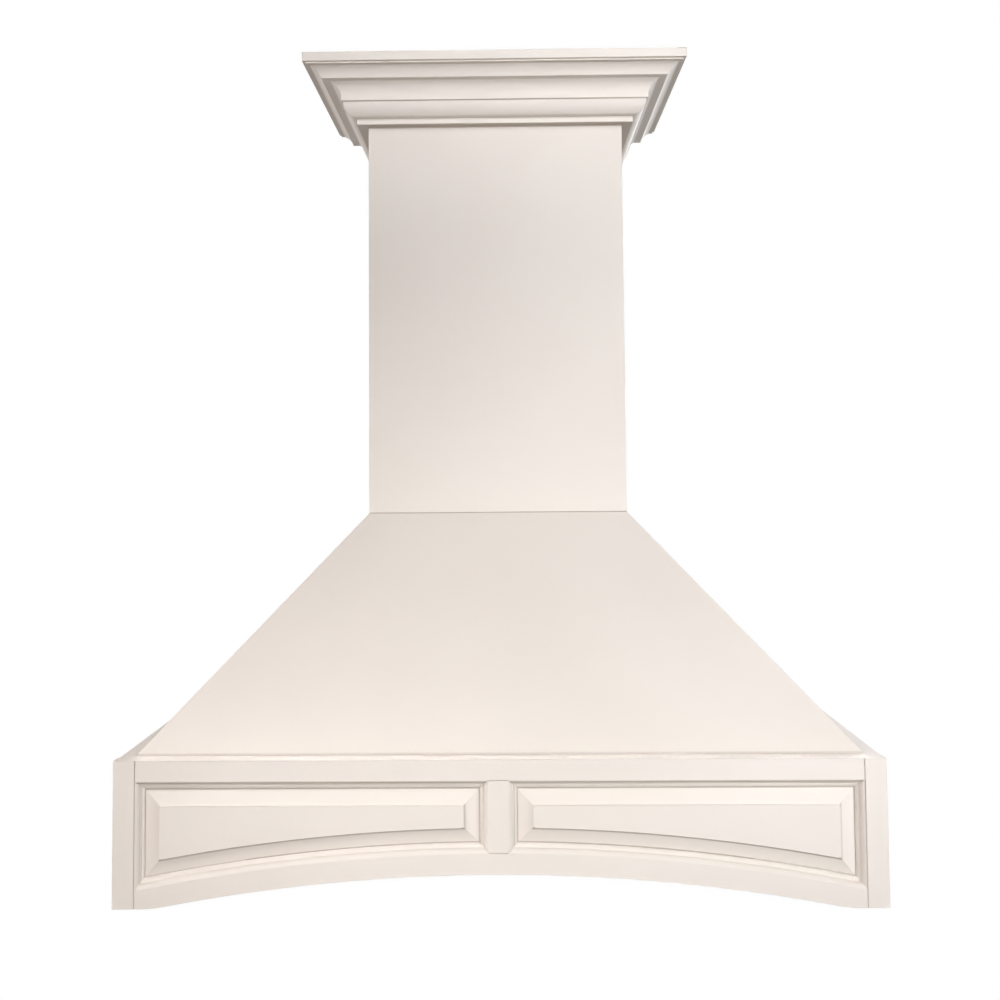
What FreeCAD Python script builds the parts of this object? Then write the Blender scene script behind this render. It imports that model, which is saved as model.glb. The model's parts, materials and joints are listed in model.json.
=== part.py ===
# Wall range hood: painted wooden shell around a steel insert with filters, blower and duct collar.
# Millimetres. The origin is on the wall plane at the bottom centre; the front faces -Y and +Z is up.
import FreeCAD, Part
import math
import os

V = FreeCAD.Vector

# Overall shell
HOOD_WIDTH = 914.0
HOOD_DEPTH = 600.0
HOOD_HEIGHT = 1080.0
SKIRT_HEIGHT = 172.0
CANOPY_TOP = 454.0
CHIMNEY_WIDTH = 356.0
CHIMNEY_DEPTH = 340.0
FRONT_LEDGE = 30.0
SIDE_LEDGE = 19.0

# Boards
BOARD = 12.0
SIDE_BOARD = 18.0
LINING = 12.0
LINING_BOTTOM = 46.0
WALL_BOARD = 19.0
WALL_RAIL_HEIGHT = 80.0
BATTEN = 20.0
SIDE_REVEAL = 2.0
CHIMNEY_SHORTFALL = 6.0
EDGE_EASE = 1.2

# Wall screws in the back board
STUD_SPACING = 406.4
SCREW_ROWS = 100.0
SCREW_HOLE_R = 3.5
SCREW_ROW_MIDDLE = 86.0
RAIL_SCREW_SPACING = 200.0

# Crown moulding: how far it stands out, how deep it hangs, and its members from the top down
CROWN_PROJECTION = 82.0
CROWN_DROP = 84.0
FASCIA_HEIGHT = 12.4
BEAD_SETBACK = 3.5
BEAD_HEIGHT = 2.6
UPPER_COVE_TOP = 74.0
UPPER_COVE_FOOT = 59.0
UPPER_COVE_HEIGHT = 15.0
UPPER_COVE_SAG = 2.5
LOWER_COVE_TOP = 48.5
LOWER_COVE_FOOT = 34.8
LOWER_COVE_HEIGHT = 25.0
LOWER_COVE_SAG = 5.0
OVOLO_STEP = 2.6
OVOLO_FOOT = 14.5
OVOLO_SAG = 5.5
CROWN_FILLET = 8.0
CROWN_SEAT = 18.0
CROWN_TOP_FLAT = 18.0

# Apron: a moulded frame with an arched lower rail around two raised panels
FRAME = 20.0
STILE_WIDTH = 26.0
CENTRE_STILE_WIDTH = 23.0
TOP_RAIL_HEIGHT = 24.0
BOTTOM_RAIL_HEIGHT = 24.5
ARCH_RISE = 39.0
ARCH_TIP = 47.0
ARCH_EASE_R = 160.0
STICK_WIDTH = 10.5
STICK_DEPTH = 11.0
OVOLO_SIZE = 5.5
OVOLO_SWELL = 1.1
QUIRK = 1.2
QUIRK_DROP = 1.4
STICK_BEAD_SWELL = 0.9
JOINT_VEE = 0.6
JOINT_DEPTH = 2.0
GROOVE_WIDTH = 5.0
GROOVE_DEPTH = 7.5
PANEL_CLEARANCE = 0.3
FIELD_SINK = 1.0
FIELD_STEP = 2.8
FIELD_CORNER_R = 4.0
BEVEL_WIDTH = 19.0

# Steel insert
SHEET = 1.5
LINER_BOTTOM = 52.0
LINER_CLEARANCE = 2.0
PLENUM_HEIGHT = 76.0
PLENUM_RIM = 3.0

# Baffle filters
FILTERS = 3
FILTER_MARGIN = 42.0
FILTER_SETBACK = 66.0
FILTER_HEIGHT = 14.0
FILTER_RIM = 12.0
FILTER_GAP = 2.0
FILTER_DROP = 2.0
FILTER_REAR = 70.0
FILTER_EDGE = 0.8
FILTER_SHEET = 1.0
BAFFLES = 8
BAFFLE_WIDTH = 18.0
BAFFLE_HEIGHT = 5.5
BAFFLE_SHEET = 0.8
PIVOT_R = 3.0
PIVOT_SETBACK = 8.0
PIVOT_LUG = 12.0
PIVOT_CLEARANCE = 0.3
KEEPER_WIDTH = 16.0
KEEPER_INSET = 56.0
LUG_INSET = 21.0
HANDLE_STRAP = 2.0
HANDLE_WIDTH = 9.0
HANDLE_SPAN = 96.0
HANDLE_REACH = 22.0
HANDLE_BEND_R = 7.0

# Controls
CONTROL_SETBACK = 62.0
FASCIA_LENGTH = 190.0
FASCIA_WIDTH = 38.0
FASCIA_SHEET = 2.0
FASCIA_CORNER_R = 6.0
BUTTONS = ("power", "low", "medium", "high", "light")
BUTTON_PITCH = 32.0
BUTTON_R = 8.0
BUTTON_CLEARANCE = 0.3
BUTTON_PROUD = 4.0
BUTTON_TRAVEL = 2.0
BUTTON_FLANGE_SIDE = 19.0
BUTTON_FLANGE = 2.0
BUTTON_SEAT_GAP = 0.2
BUTTON_STEM_SIDE = 5.0
BUTTON_STEM = 16.0
SWITCH_SIZE = 12.0
SWITCH_HEIGHT = 10.0
SWITCH_GAP = 0.5

# Lamps
LAMP_INSET = 177.0
LAMP_LENS_R = 30.0
LAMP_LIP = 1.2
LAMP_FLANGE_R = 38.0
LAMP_FLANGE = 2.4
LAMP_WALL = 1.5
LAMP_DEPTH = 30.0
LAMP_LENS = 4.0
LAMP_CLEARANCE = 0.3

# Blower
IMPELLER_R = 85.0
IMPELLER_HALF = 68.0
BLADES = 20
BLADE_DEPTH = 14.0
BLADE_SHEET = 1.0
BLADE_BEND = 1.1
WHEEL_RING = 3.0
WHEEL_DISC = 2.0
HUB_R = 14.0
HUB_HALF = 12.0
SHAFT_R = 5.0
SHAFT_CLEARANCE = 0.05
SCROLL_R = 100.0
SCROLL_GROWTH = 12.0
SCROLL_HALF = 75.0
INLET_R = 66.0
INLET_LIP = 5.0
MOTOR_R = 46.0
MOTOR_LENGTH = 78.0
MOTOR_NOSE_R = 20.0
MOTOR_NOSE = 8.0
MOTOR_GAP = 10.0
BRACKET_SHEET = 3.0
BRACKET_RING = 7.0
BRACKET_ARMS = 3
BRACKET_ARM_WIDTH = 16.0
BRACKET_REACH = 88.0
CHAMBER_HALF = 165.0
CHAMBER_MARGIN = 8.0
CHAMBER_FLANGE = 12.0
CHAMBER_TOP = 414.0
SCROLL_FLOOR_GAP = 14.0

# Duct collar and backdraft damper
DUCT_SETBACK = 168.0
COLLAR_R = 76.2
COLLAR_WALL = 1.2
COLLAR_HEIGHT = 64.0
COLLAR_FLANGE = 95.0
DAMPER_HEIGHT = 32.0
DAMPER_PIN_R = 1.5
DAMPER_PIN_HALF_SPACING = 5.0
DAMPER_SLEEVE = 1.1
DAMPER_SLEEVE_HALF = 60.0
DAMPER_CLEARANCE = 0.1
FLAP_SHEET = 1.0
FLAP_EDGE_GAP = 0.8
FLAP_STOP = 4.0

# Junction box on the blower chamber
BOX_LENGTH = 100.0
BOX_HEIGHT = 70.0
BOX_DEPTH = 42.0
BOX_LIFT = 70.0
BOX_WALL = 1.5
BOX_COVER = 1.5
GLAND_R = 11.0
GLAND_BORE_R = 7.0
GLAND_LENGTH = 14.0

# Worked-out places
HALF = HOOD_WIDTH / 2
CHIMNEY_HALF = CHIMNEY_WIDTH / 2
CHIMNEY_TOP = HOOD_HEIGHT - CHIMNEY_SHORTFALL
SIDE_OUT = HALF - SIDE_REVEAL
SIDE_IN = SIDE_OUT - SIDE_BOARD
APRON_BACK = -HOOD_DEPTH + FRAME
LINING_BACK = APRON_BACK + LINING
CANOPY_HALF = HALF - SIDE_LEDGE
CANOPY_FRONT = -HOOD_DEPTH + FRONT_LEDGE

APRON_HALF = HALF - STILE_WIDTH
TOP_EDGE = SKIRT_HEIGHT - TOP_RAIL_HEIGHT
ARCH_HALF = HALF - ARCH_TIP
ARCH_R = (ARCH_HALF ** 2 + ARCH_RISE ** 2) / (2 * ARCH_RISE)
ARCH_CENTRE = ARCH_RISE - ARCH_R
RAIL_EDGE_R = ARCH_R + BOTTOM_RAIL_HEIGHT

LINER_TOP = LINER_BOTTOM + SHEET
CONTROL_Y = LINING_BACK + CONTROL_SETBACK
FILTER_BOTTOM = LINER_BOTTOM - FILTER_DROP
FILTER_FRONT = CONTROL_Y + FILTER_SETBACK
FILTER_LENGTH = -FILTER_REAR - FILTER_FRONT
FILTER_WIDTH = (2 * (SIDE_IN - FILTER_MARGIN) - (FILTERS - 1) * FILTER_GAP) / FILTERS
FILTER_PITCH = FILTER_WIDTH + FILTER_GAP
PIVOT_Y = -FILTER_REAR + PIVOT_SETBACK
PIVOT_Z = FILTER_BOTTOM + FILTER_HEIGHT / 2
MOUTH_HALF = SIDE_IN - FILTER_MARGIN + FILTER_GAP
MOUTH_FRONT = FILTER_FRONT - FILTER_GAP
MOUTH_REAR = PIVOT_Y + PIVOT_R + PIVOT_CLEARANCE + SHEET
PLENUM_TOP = LINER_TOP + PLENUM_HEIGHT

AXIS_Z = PLENUM_TOP + SCROLL_FLOOR_GAP + SCROLL_R + 1.5 * SCROLL_GROWTH + SHEET
OUTLET_RIGHT = SCROLL_R + 2.5 * SCROLL_GROWTH
OUTLET_LEFT = -SCROLL_GROWTH / 2
DUCT_Y = DUCT_SETBACK - CHIMNEY_DEPTH
AXIS_Y = DUCT_Y - (OUTLET_RIGHT + OUTLET_LEFT) / 2
CHAMBER_FRONT = AXIS_Y - SCROLL_R - SCROLL_GROWTH / 2 - CHAMBER_MARGIN
CHAMBER_REAR = AXIS_Y + OUTLET_RIGHT + CHAMBER_MARGIN
COLLAR_TOP = CHAMBER_TOP + COLLAR_HEIGHT
DAMPER_Z = CHAMBER_TOP + DAMPER_HEIGHT
COLLAR_IN = COLLAR_R - COLLAR_WALL


def box(x0, x1, y0, y1, z0, z1):
    """A block between two opposite corners."""
    return Part.makeBox(x1 - x0, y1 - y0, z1 - z0, V(x0, y0, z0))


def rod(radius, start, end):
    """A round bar from one point to another."""
    way = end - start
    return Part.makeCylinder(radius, way.Length, start, way)


def outline(place, start, *steps):
    """A closed face: each step is a point, or an arc as (a point on it, its end)."""
    edges = []
    here = place(*start)
    for step in steps + (start,):
        curved = isinstance(step[0], tuple)
        there = place(*(step[1] if curved else step))
        if curved:
            edges.append(Part.Arc(here, place(*step[0]), there).toShape())
        elif not here.isEqual(there, 1e-6):
            edges.append(Part.LineSegment(here, there).toShape())
        here = there
    return Part.Face(Part.Wire(edges))


def arc_to(start, end, swell):
    """An outline step: an arc that swells to the left of the straight way by the given amount."""
    du = end[0] - start[0]
    dv = end[1] - start[1]
    length = math.hypot(du, dv)
    middle = ((start[0] + end[0]) / 2 - swell * dv / length, (start[1] + end[1]) / 2 + swell * du / length)
    return middle, end


def slab(low, high):
    """A solid between a lower and an upper polygon with matching corners."""
    rings = [low, high]
    for i in range(len(low)):
        j = (i + 1) % len(low)
        rings.append([low[i], low[j], high[j], high[i]])
    faces = [Part.Face(Part.makePolygon(ring + ring[:1])) for ring in rings]
    solid = Part.makeSolid(Part.makeShell(faces))
    if solid.Volume < 0:
        solid.reverse()
    return solid


def mirrored(shape):
    """The same piece for the other side of the hood."""
    return shape.mirror(V(0, 0, 0), V(1, 0, 0))


def eased(shape, chosen):
    """Round the edges whose middle points pass the given test."""
    edges = [e for e in shape.Edges if chosen(e.CenterOfMass)]
    return shape.makeFillet(EDGE_EASE, edges)


def group(shapes):
    """Separate solids that share one node."""
    return Part.makeCompound(shapes)


def chimney_boards():
    """Front board across the full width, its corners eased, with the two side boards behind it."""
    seam = EDGE_EASE
    foot = CANOPY_TOP
    front = outline(lambda y, z: V(-CHIMNEY_HALF, y - CHIMNEY_DEPTH, z),
                    (0, CHIMNEY_TOP), (0, foot + seam), (seam, foot), (BOARD, foot), (BOARD, CHIMNEY_TOP))
    side = outline(lambda x, z: V(x - CHIMNEY_HALF, BOARD - CHIMNEY_DEPTH, z),
                   (0, CHIMNEY_TOP), (0, foot + seam), (seam, foot), (BOARD, foot), (BOARD, CHIMNEY_TOP))
    left = side.extrude(V(0, CHIMNEY_DEPTH - BOARD, 0))
    front = front.extrude(V(CHIMNEY_WIDTH, 0, 0))
    front = eased(front, lambda p: abs(abs(p.x) - CHIMNEY_HALF) < 0.1 and abs(p.y + CHIMNEY_DEPTH) < 0.1)
    return front, left, mirrored(left)


def chimney_corner_posts():
    """Square glue posts inside the two front corners."""
    x = CHIMNEY_HALF - BOARD
    y = BOARD - CHIMNEY_DEPTH
    post = box(-x, BATTEN - x, y, y + BATTEN, CANOPY_TOP + BATTEN, CHIMNEY_TOP)
    return group([post, mirrored(post)])


def wall_rails():
    """Screw rails across the back of the chimney, at its foot and at its top."""
    half = CHIMNEY_HALF - BOARD
    rails = []
    for foot in (CANOPY_TOP, CHIMNEY_TOP - WALL_RAIL_HEIGHT):
        rail = box(-half, half, -WALL_BOARD, 0, foot, foot + WALL_RAIL_HEIGHT)
        for side in (-1, 1):
            x = side * RAIL_SCREW_SPACING / 2
            z = foot + WALL_RAIL_HEIGHT / 2
            rail = rail.cut(rod(SCREW_HOLE_R, V(x, -WALL_BOARD, z), V(x, 0, z)))
        rails.append(rail)
    return group(rails)


def canopy_boards():
    """Three sloping boards, mitred together along the two hips."""
    rise = CANOPY_TOP - SKIRT_HEIGHT
    front_run = CANOPY_FRONT + CHIMNEY_DEPTH
    side_run = CANOPY_HALF - CHIMNEY_HALF
    across = BOARD * math.hypot(front_run, rise) / rise
    aside = BOARD * math.hypot(side_run, rise) / rise

    def ring(points, half, front, z):
        return [V(u * half + a * aside, v * front + b * across, z) for u, v, a, b in points]

    front_corners = [(-1, 1, 0, 0), (1, 1, 0, 0), (1, 1, -1, 1), (-1, 1, 1, 1)]
    left_corners = [(-1, 1, 0, 0), (-1, 1, 1, 1), (-1, 0, 1, 0), (-1, 0, 0, 0)]
    boards = []
    for corners in (front_corners, left_corners):
        low = ring(corners, CANOPY_HALF, CANOPY_FRONT, SKIRT_HEIGHT)
        high = ring(corners, CHIMNEY_HALF, -CHIMNEY_DEPTH, CANOPY_TOP)
        boards.append(slab(low, high))
    return boards[0], boards[1], mirrored(boards[1])


def batten_frame(z):
    """Four battens round the inside of the skirt, with their undersides at height z."""
    top = z + BATTEN
    front = box(-SIDE_IN, SIDE_IN, LINING_BACK, LINING_BACK + BATTEN, z, top)
    rear = box(-SIDE_IN, SIDE_IN, -WALL_BOARD - BATTEN, -WALL_BOARD, z, top)
    side = box(-SIDE_IN, BATTEN - SIDE_IN, LINING_BACK + BATTEN, -WALL_BOARD - BATTEN, z, top)
    return group([front, rear, side, mirrored(side)])


def skirt_side():
    """Plain side board behind the left stile, its long outer edges eased."""
    board = box(-SIDE_OUT, -SIDE_IN, APRON_BACK, 0, 0, SKIRT_HEIGHT)
    middle = SKIRT_HEIGHT / 2
    return eased(board, lambda p: abs(p.x + SIDE_OUT) < 0.1 and abs(p.z - middle) > middle - 0.1)


def skirt_back():
    """Back board on the wall, with four screw holes on stud centres."""
    board = box(-SIDE_IN, SIDE_IN, -WALL_BOARD, 0, 0, SKIRT_HEIGHT)
    for side in (-1, 1):
        for row in (-1, 1):
            x = side * STUD_SPACING / 2
            z = SCREW_ROW_MIDDLE + row * SCREW_ROWS / 2
            board = board.cut(rod(SCREW_HOLE_R, V(x, -WALL_BOARD, z), V(x, 0, z)))
    return board


def skirt_lining():
    """Inner board behind the apron; its top edge makes the rear half of the ledge."""
    return box(-SIDE_IN, SIDE_IN, APRON_BACK, LINING_BACK, LINING_BOTTOM, SKIRT_HEIGHT)


def member_steps(width):
    """Outline steps of a frame member from its face edge: moulding, panel groove, back and face."""
    quirk = (OVOLO_SIZE, OVOLO_SIZE)
    foot = (OVOLO_SIZE + QUIRK_DROP, OVOLO_SIZE)
    bead = (OVOLO_SIZE + QUIRK_DROP, OVOLO_SIZE + QUIRK)
    tip = (STICK_DEPTH, STICK_WIDTH)
    lip = STICK_WIDTH - GROOVE_DEPTH
    back = STICK_DEPTH + GROOVE_WIDTH
    return [arc_to((0, 0), quirk, OVOLO_SWELL), foot, bead, arc_to(bead, tip, STICK_BEAD_SWELL),
            (STICK_DEPTH, lip), (back, lip), (back, STICK_WIDTH), (FRAME, STICK_WIDTH), (FRAME, -width),
            (0, -width)]


def arch_height(radius, x):
    """Height of a curve of the arch family at a place across the hood."""
    return ARCH_CENTRE + math.sqrt(radius ** 2 - x ** 2)


def turned_arch(section):
    """Turn a section on the middle plane about the arch's centre, past both stiles."""
    reach = math.degrees(math.asin(HALF / ARCH_R))
    centre = V(0, 0, ARCH_CENTRE)
    section.rotate(centre, V(0, 1, 0), -reach)
    return section.revolve(centre, V(0, 1, 0), 2 * reach)


def joint_grooves():
    """Fine V-shaped cutters along the face joints between the apron's stiles and rails."""
    wide = 2 * JOINT_VEE
    vee = [(-wide, -JOINT_DEPTH), (wide, -JOINT_DEPTH), (0, JOINT_DEPTH)]
    half = CENTRE_STILE_WIDTH / 2
    cutters = []
    for x in (-APRON_HALF, APRON_HALF):
        cutters.append(outline(lambda u, t: V(x + u, t - HOOD_DEPTH, 0), *vee).extrude(V(0, 0, SKIRT_HEIGHT)))
    for z in (ARCH_RISE + BOTTOM_RAIL_HEIGHT, TOP_EDGE):
        cutters.append(outline(lambda u, t: V(-half, t - HOOD_DEPTH, z + u), *vee).extrude(V(2 * half, 0, 0)))
    return cutters


def apron_stile():
    """Left stile: a plain face beside the corner, moulded along the panel."""
    face = outline(lambda t, s: V(s - APRON_HALF, t - HOOD_DEPTH, 0), (0, 0), *member_steps(STILE_WIDTH))
    stile = face.extrude(V(0, 0, SKIRT_HEIGHT))
    return eased(stile, lambda p: abs(p.x + HALF) < 0.1 and abs(p.y + HOOD_DEPTH) < 0.1)


def apron_top_rail(stiles):
    """Straight upper rail, its ends coped over the stiles' moulding."""
    face = outline(lambda t, s: V(-APRON_HALF, t - HOOD_DEPTH, TOP_EDGE - s), (0, 0),
                   *member_steps(TOP_RAIL_HEIGHT))
    return face.extrude(V(2 * APRON_HALF, 0, 0)).cut(stiles)


def apron_bottom_rail(stiles):
    """Arched lower rail: its moulding follows the arch, and its tips run level into the stiles."""
    depth = BOTTOM_RAIL_HEIGHT + ARCH_RISE + STICK_WIDTH
    section = outline(lambda t, s: V(0, t - HOOD_DEPTH, ARCH_CENTRE + RAIL_EDGE_R + s), (0, 0),
                      *member_steps(depth))
    blank = turned_arch(section)
    above = ARCH_RISE + BOTTOM_RAIL_HEIGHT + 2 * STICK_WIDTH
    keep = outline(lambda x, z: V(x, -HOOD_DEPTH, z), (-APRON_HALF, 0), (-ARCH_HALF, 0),
                   ((0, ARCH_RISE), (ARCH_HALF, 0)), (APRON_HALF, 0), (APRON_HALF, above),
                   (-APRON_HALF, above))
    keep = keep.extrude(V(0, FRAME, 0))
    turn = [e for e in keep.Edges if abs(abs(e.CenterOfMass.x) - ARCH_HALF) < 0.1 and e.Length < FRAME + 1]
    keep = keep.makeFillet(ARCH_EASE_R, turn)
    return blank.common(keep).cut(stiles)


def apron_centre_stile(rails):
    """Short middle stile, moulded on both edges and coped over both rails."""
    half = CENTRE_STILE_WIDTH / 2
    foot = ARCH_RISE + BOTTOM_RAIL_HEIGHT
    face = outline(lambda t, s: V(s + half, t - HOOD_DEPTH, foot - STICK_WIDTH), (0, 0), *member_steps(half))
    right = face.extrude(V(0, 0, TOP_EDGE - foot + STICK_WIDTH))
    return right.fuse(mirrored(right)).removeSplitter().cut(rails)


def raised_panel():
    """Left raised panel: a flat field with rounded corners, a step and a bevel down to the tongue."""
    tongue = GROOVE_DEPTH - PANEL_CLEARANCE
    edge = STICK_WIDTH - tongue
    left = -APRON_HALF + edge
    right = -CENTRE_STILE_WIDTH / 2 - edge
    top = TOP_EDGE - edge
    radius = RAIL_EDGE_R + edge
    middle = (left + right) / 2
    front = STICK_DEPTH + PANEL_CLEARANCE
    thick = GROOVE_WIDTH - 2 * PANEL_CLEARANCE
    step = FIELD_SINK + FIELD_STEP

    def plate(inset, near, far):
        x0 = left + inset
        x1 = right - inset
        r = radius + inset
        arch = ((middle, arch_height(r, middle)), (x1, arch_height(r, x1)))
        face = outline(lambda x, z: V(x, near - HOOD_DEPTH, z), (x0, arch_height(r, x0)), arch,
                       (x1, top - inset), (x0, top - inset))
        return face.extrude(V(0, far - near, 0))

    panel = plate(0, step, front + thick)
    reach = tongue + BEVEL_WIDTH
    bevel = [(-1, -1), (-1, front), (tongue, front), (reach, step), (reach, -1)]
    tall = SKIRT_HEIGHT
    wide = right - left
    cutters = [outline(lambda s, t: V(left + s, t - HOOD_DEPTH, 0), *bevel).extrude(V(0, 0, tall)),
               outline(lambda s, t: V(right - s, t - HOOD_DEPTH, 0), *bevel).extrude(V(0, 0, tall)),
               outline(lambda s, t: V(left, t - HOOD_DEPTH, top - s), *bevel).extrude(V(wide, 0, 0)),
               turned_arch(outline(lambda s, t: V(0, t - HOOD_DEPTH, ARCH_CENTRE + radius + s), *bevel))]
    for cutter in cutters:
        panel = panel.cut(cutter)
    field = plate(reach, FIELD_SINK, step)
    field = field.makeFillet(FIELD_CORNER_R, [e for e in field.Edges if abs(e.Length - FIELD_STEP) < 0.01])
    return panel.fuse(field).removeSplitter()


def crown_section(place):
    """Section of the crown by projection and depth below the top: fascia, bead, two coves and an ovolo."""
    bead = CROWN_PROJECTION - BEAD_SETBACK
    bead_foot = FASCIA_HEIGHT + BEAD_HEIGHT
    upper_top = (UPPER_COVE_TOP, bead_foot)
    upper_foot = (UPPER_COVE_FOOT, bead_foot + UPPER_COVE_HEIGHT)
    lower_top = (LOWER_COVE_TOP, upper_foot[1])
    lower_foot = (LOWER_COVE_FOOT, upper_foot[1] + LOWER_COVE_HEIGHT)
    round_top = (LOWER_COVE_FOOT - OVOLO_STEP, lower_foot[1])
    round_foot = (OVOLO_FOOT, CROWN_DROP - CROWN_FILLET)
    return outline(place, (CROWN_PROJECTION, 0), (CROWN_PROJECTION, FASCIA_HEIGHT), (bead, FASCIA_HEIGHT),
                   (bead, bead_foot), upper_top, arc_to(upper_top, upper_foot, UPPER_COVE_SAG), lower_top,
                   arc_to(lower_top, lower_foot, LOWER_COVE_SAG), round_top,
                   arc_to(round_top, round_foot, -OVOLO_SAG), (OVOLO_FOOT, CROWN_DROP), (0, CROWN_DROP),
                   (0, CROWN_DROP - CROWN_SEAT), (CROWN_PROJECTION - CROWN_TOP_FLAT, 0))


def crown_mouldings():
    """Front length and two returns, mitred at the corners; the returns run back to the wall."""
    reach = CROWN_PROJECTION
    wide = CHIMNEY_HALF + reach
    deep = CHIMNEY_DEPTH + reach
    front = crown_section(lambda p, d: V(-wide, -CHIMNEY_DEPTH - p, HOOD_HEIGHT - d))
    front = front.extrude(V(2 * wide, 0, 0))
    left = crown_section(lambda p, d: V(-CHIMNEY_HALF - p, -deep, HOOD_HEIGHT - d))
    left = left.extrude(V(0, deep, 0))
    foot = HOOD_HEIGHT - CROWN_DROP

    def wedge(corners):
        return slab([V(x, y, foot) for x, y in corners], [V(x, y, HOOD_HEIGHT) for x, y in corners])

    inner = (-CHIMNEY_HALF, -CHIMNEY_DEPTH)
    outer = (-wide, -deep)
    front_part = wedge([outer, (wide, -deep), (CHIMNEY_HALF, -CHIMNEY_DEPTH), inner])
    left_part = wedge([outer, inner, (-CHIMNEY_HALF, 0), (-wide, 0)])
    left = left.common(left_part)
    return front.common(front_part), left, mirrored(left)


def liner_pan():
    """Bottom sheet of the insert with openings for the filters, the lamps and the control strip."""
    side = SIDE_IN - LINER_CLEARANCE
    front = LINING_BACK + LINER_CLEARANCE
    rear = -WALL_BOARD - LINER_CLEARANCE
    pan = box(-side, side, front, rear, LINER_BOTTOM, LINER_TOP)
    pan = pan.cut(box(-MOUTH_HALF, MOUTH_HALF, MOUTH_FRONT, MOUTH_REAR, LINER_BOTTOM, LINER_TOP))
    half = BUTTON_PITCH * (len(BUTTONS) - 1) / 2 + SWITCH_SIZE
    pan = pan.cut(box(-half, half, CONTROL_Y - SWITCH_SIZE, CONTROL_Y + SWITCH_SIZE, LINER_BOTTOM, LINER_TOP))
    for lamp in lamp_places():
        pan = pan.cut(rod(LAMP_LENS_R + LAMP_CLEARANCE + LAMP_WALL, lamp, lamp + V(0, 0, SHEET)))
    return pan


def open_box(x, front, rear, foot, top):
    """A folded sheet box with no bottom, between plus and minus x."""
    outside = box(-x, x, front, rear, foot, top)
    return outside.cut(box(SHEET - x, x - SHEET, front + SHEET, rear - SHEET, foot, top - SHEET))


def plenum_box():
    """Box over the filters that gathers the air under the blower chamber."""
    plenum = open_box(MOUTH_HALF + PLENUM_RIM, MOUTH_FRONT - PLENUM_RIM, MOUTH_REAR + SHEET, LINER_TOP,
                      PLENUM_TOP)
    x = CHAMBER_HALF - CHAMBER_FLANGE
    front = CHAMBER_FRONT + CHAMBER_FLANGE
    rear = CHAMBER_REAR - CHAMBER_FLANGE
    return plenum.cut(box(-x, x, front, rear, PLENUM_TOP - SHEET, PLENUM_TOP))


def filter_centres():
    """Places of the filters across the hood, from left to right."""
    return [(i - (FILTERS - 1) / 2) * FILTER_PITCH for i in range(FILTERS)]


def filter_frame(x):
    """Folded channel rim of one filter, open inwards, with its rear pivot bar on two lugs."""
    half = FILTER_WIDTH / 2
    rear = -FILTER_REAR
    top = FILTER_BOTTOM + FILTER_HEIGHT
    rim = box(x - half, x + half, FILTER_FRONT, rear, FILTER_BOTTOM, top)
    rim = rim.makeChamfer(FILTER_EDGE, [e for e in rim.Edges if abs(e.CenterOfMass.z - PIVOT_Z) > 1])
    for wall, lip in ((FILTER_RIM, 0), (FILTER_SHEET, FILTER_SHEET)):
        inner = half - wall
        rim = rim.cut(box(x - inner, x + inner, FILTER_FRONT + wall, rear - wall, FILTER_BOTTOM + lip,
                          top - lip))
    for side in (-1, 1):
        lug = x + side * (half - LUG_INSET)
        rim = rim.fuse(box(lug - PIVOT_LUG / 2, lug + PIVOT_LUG / 2, rear, PIVOT_Y, PIVOT_Z - PIVOT_R / 2,
                           PIVOT_Z + PIVOT_R / 2))
    bar = rod(PIVOT_R, V(x - half, PIVOT_Y, PIVOT_Z), V(x + half, PIVOT_Y, PIVOT_Z))
    return rim.fuse(bar).removeSplitter()


def filter_baffles(x):
    """Two interleaved rows of channels: the lower ones open upwards, the upper ones downwards."""
    front = FILTER_FRONT + FILTER_SHEET
    length = FILTER_LENGTH - 2 * FILTER_SHEET
    pitch = (FILTER_WIDTH - 2 * FILTER_RIM) / BAFFLES
    half = BAFFLE_WIDTH / 2
    wall = half - BAFFLE_SHEET
    section = [(-half, BAFFLE_HEIGHT), (-half, 0), (half, 0), (half, BAFFLE_HEIGHT), (wall, BAFFLE_HEIGHT),
               (wall, BAFFLE_SHEET), (-wall, BAFFLE_SHEET), (-wall, BAFFLE_HEIGHT)]
    channels = []
    for row in range(2):
        base = FILTER_BOTTOM + FILTER_SHEET + row * (FILTER_HEIGHT - 2 * FILTER_SHEET)
        way = 1 - 2 * row
        for i in range(BAFFLES - row):
            middle = x + (i - (BAFFLES - row - 1) / 2) * pitch
            face = outline(lambda u, w: V(middle + u, front, base + way * w), *section)
            channels.append(face.extrude(V(0, length, 0)))
    return group(channels)


def filter_handle(x):
    """Folded strap pull under the front rim of one filter, with rounded bends."""
    half = HANDLE_SPAN / 2
    foot = FILTER_BOTTOM - HANDLE_REACH
    y = FILTER_FRONT + (FILTER_RIM - HANDLE_WIDTH) / 2

    def hoop(inset, bend):
        block = box(x - half + inset, x + half - inset, y, y + HANDLE_WIDTH, foot + inset, FILTER_BOTTOM)
        low = [e for e in block.Edges if e.CenterOfMass.z < foot + bend]
        return block.makeFillet(bend, [e for e in low if abs(e.Length - HANDLE_WIDTH) < 0.01])

    return hoop(0, HANDLE_BEND_R).cut(hoop(HANDLE_STRAP, HANDLE_BEND_R - HANDLE_STRAP))


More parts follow.
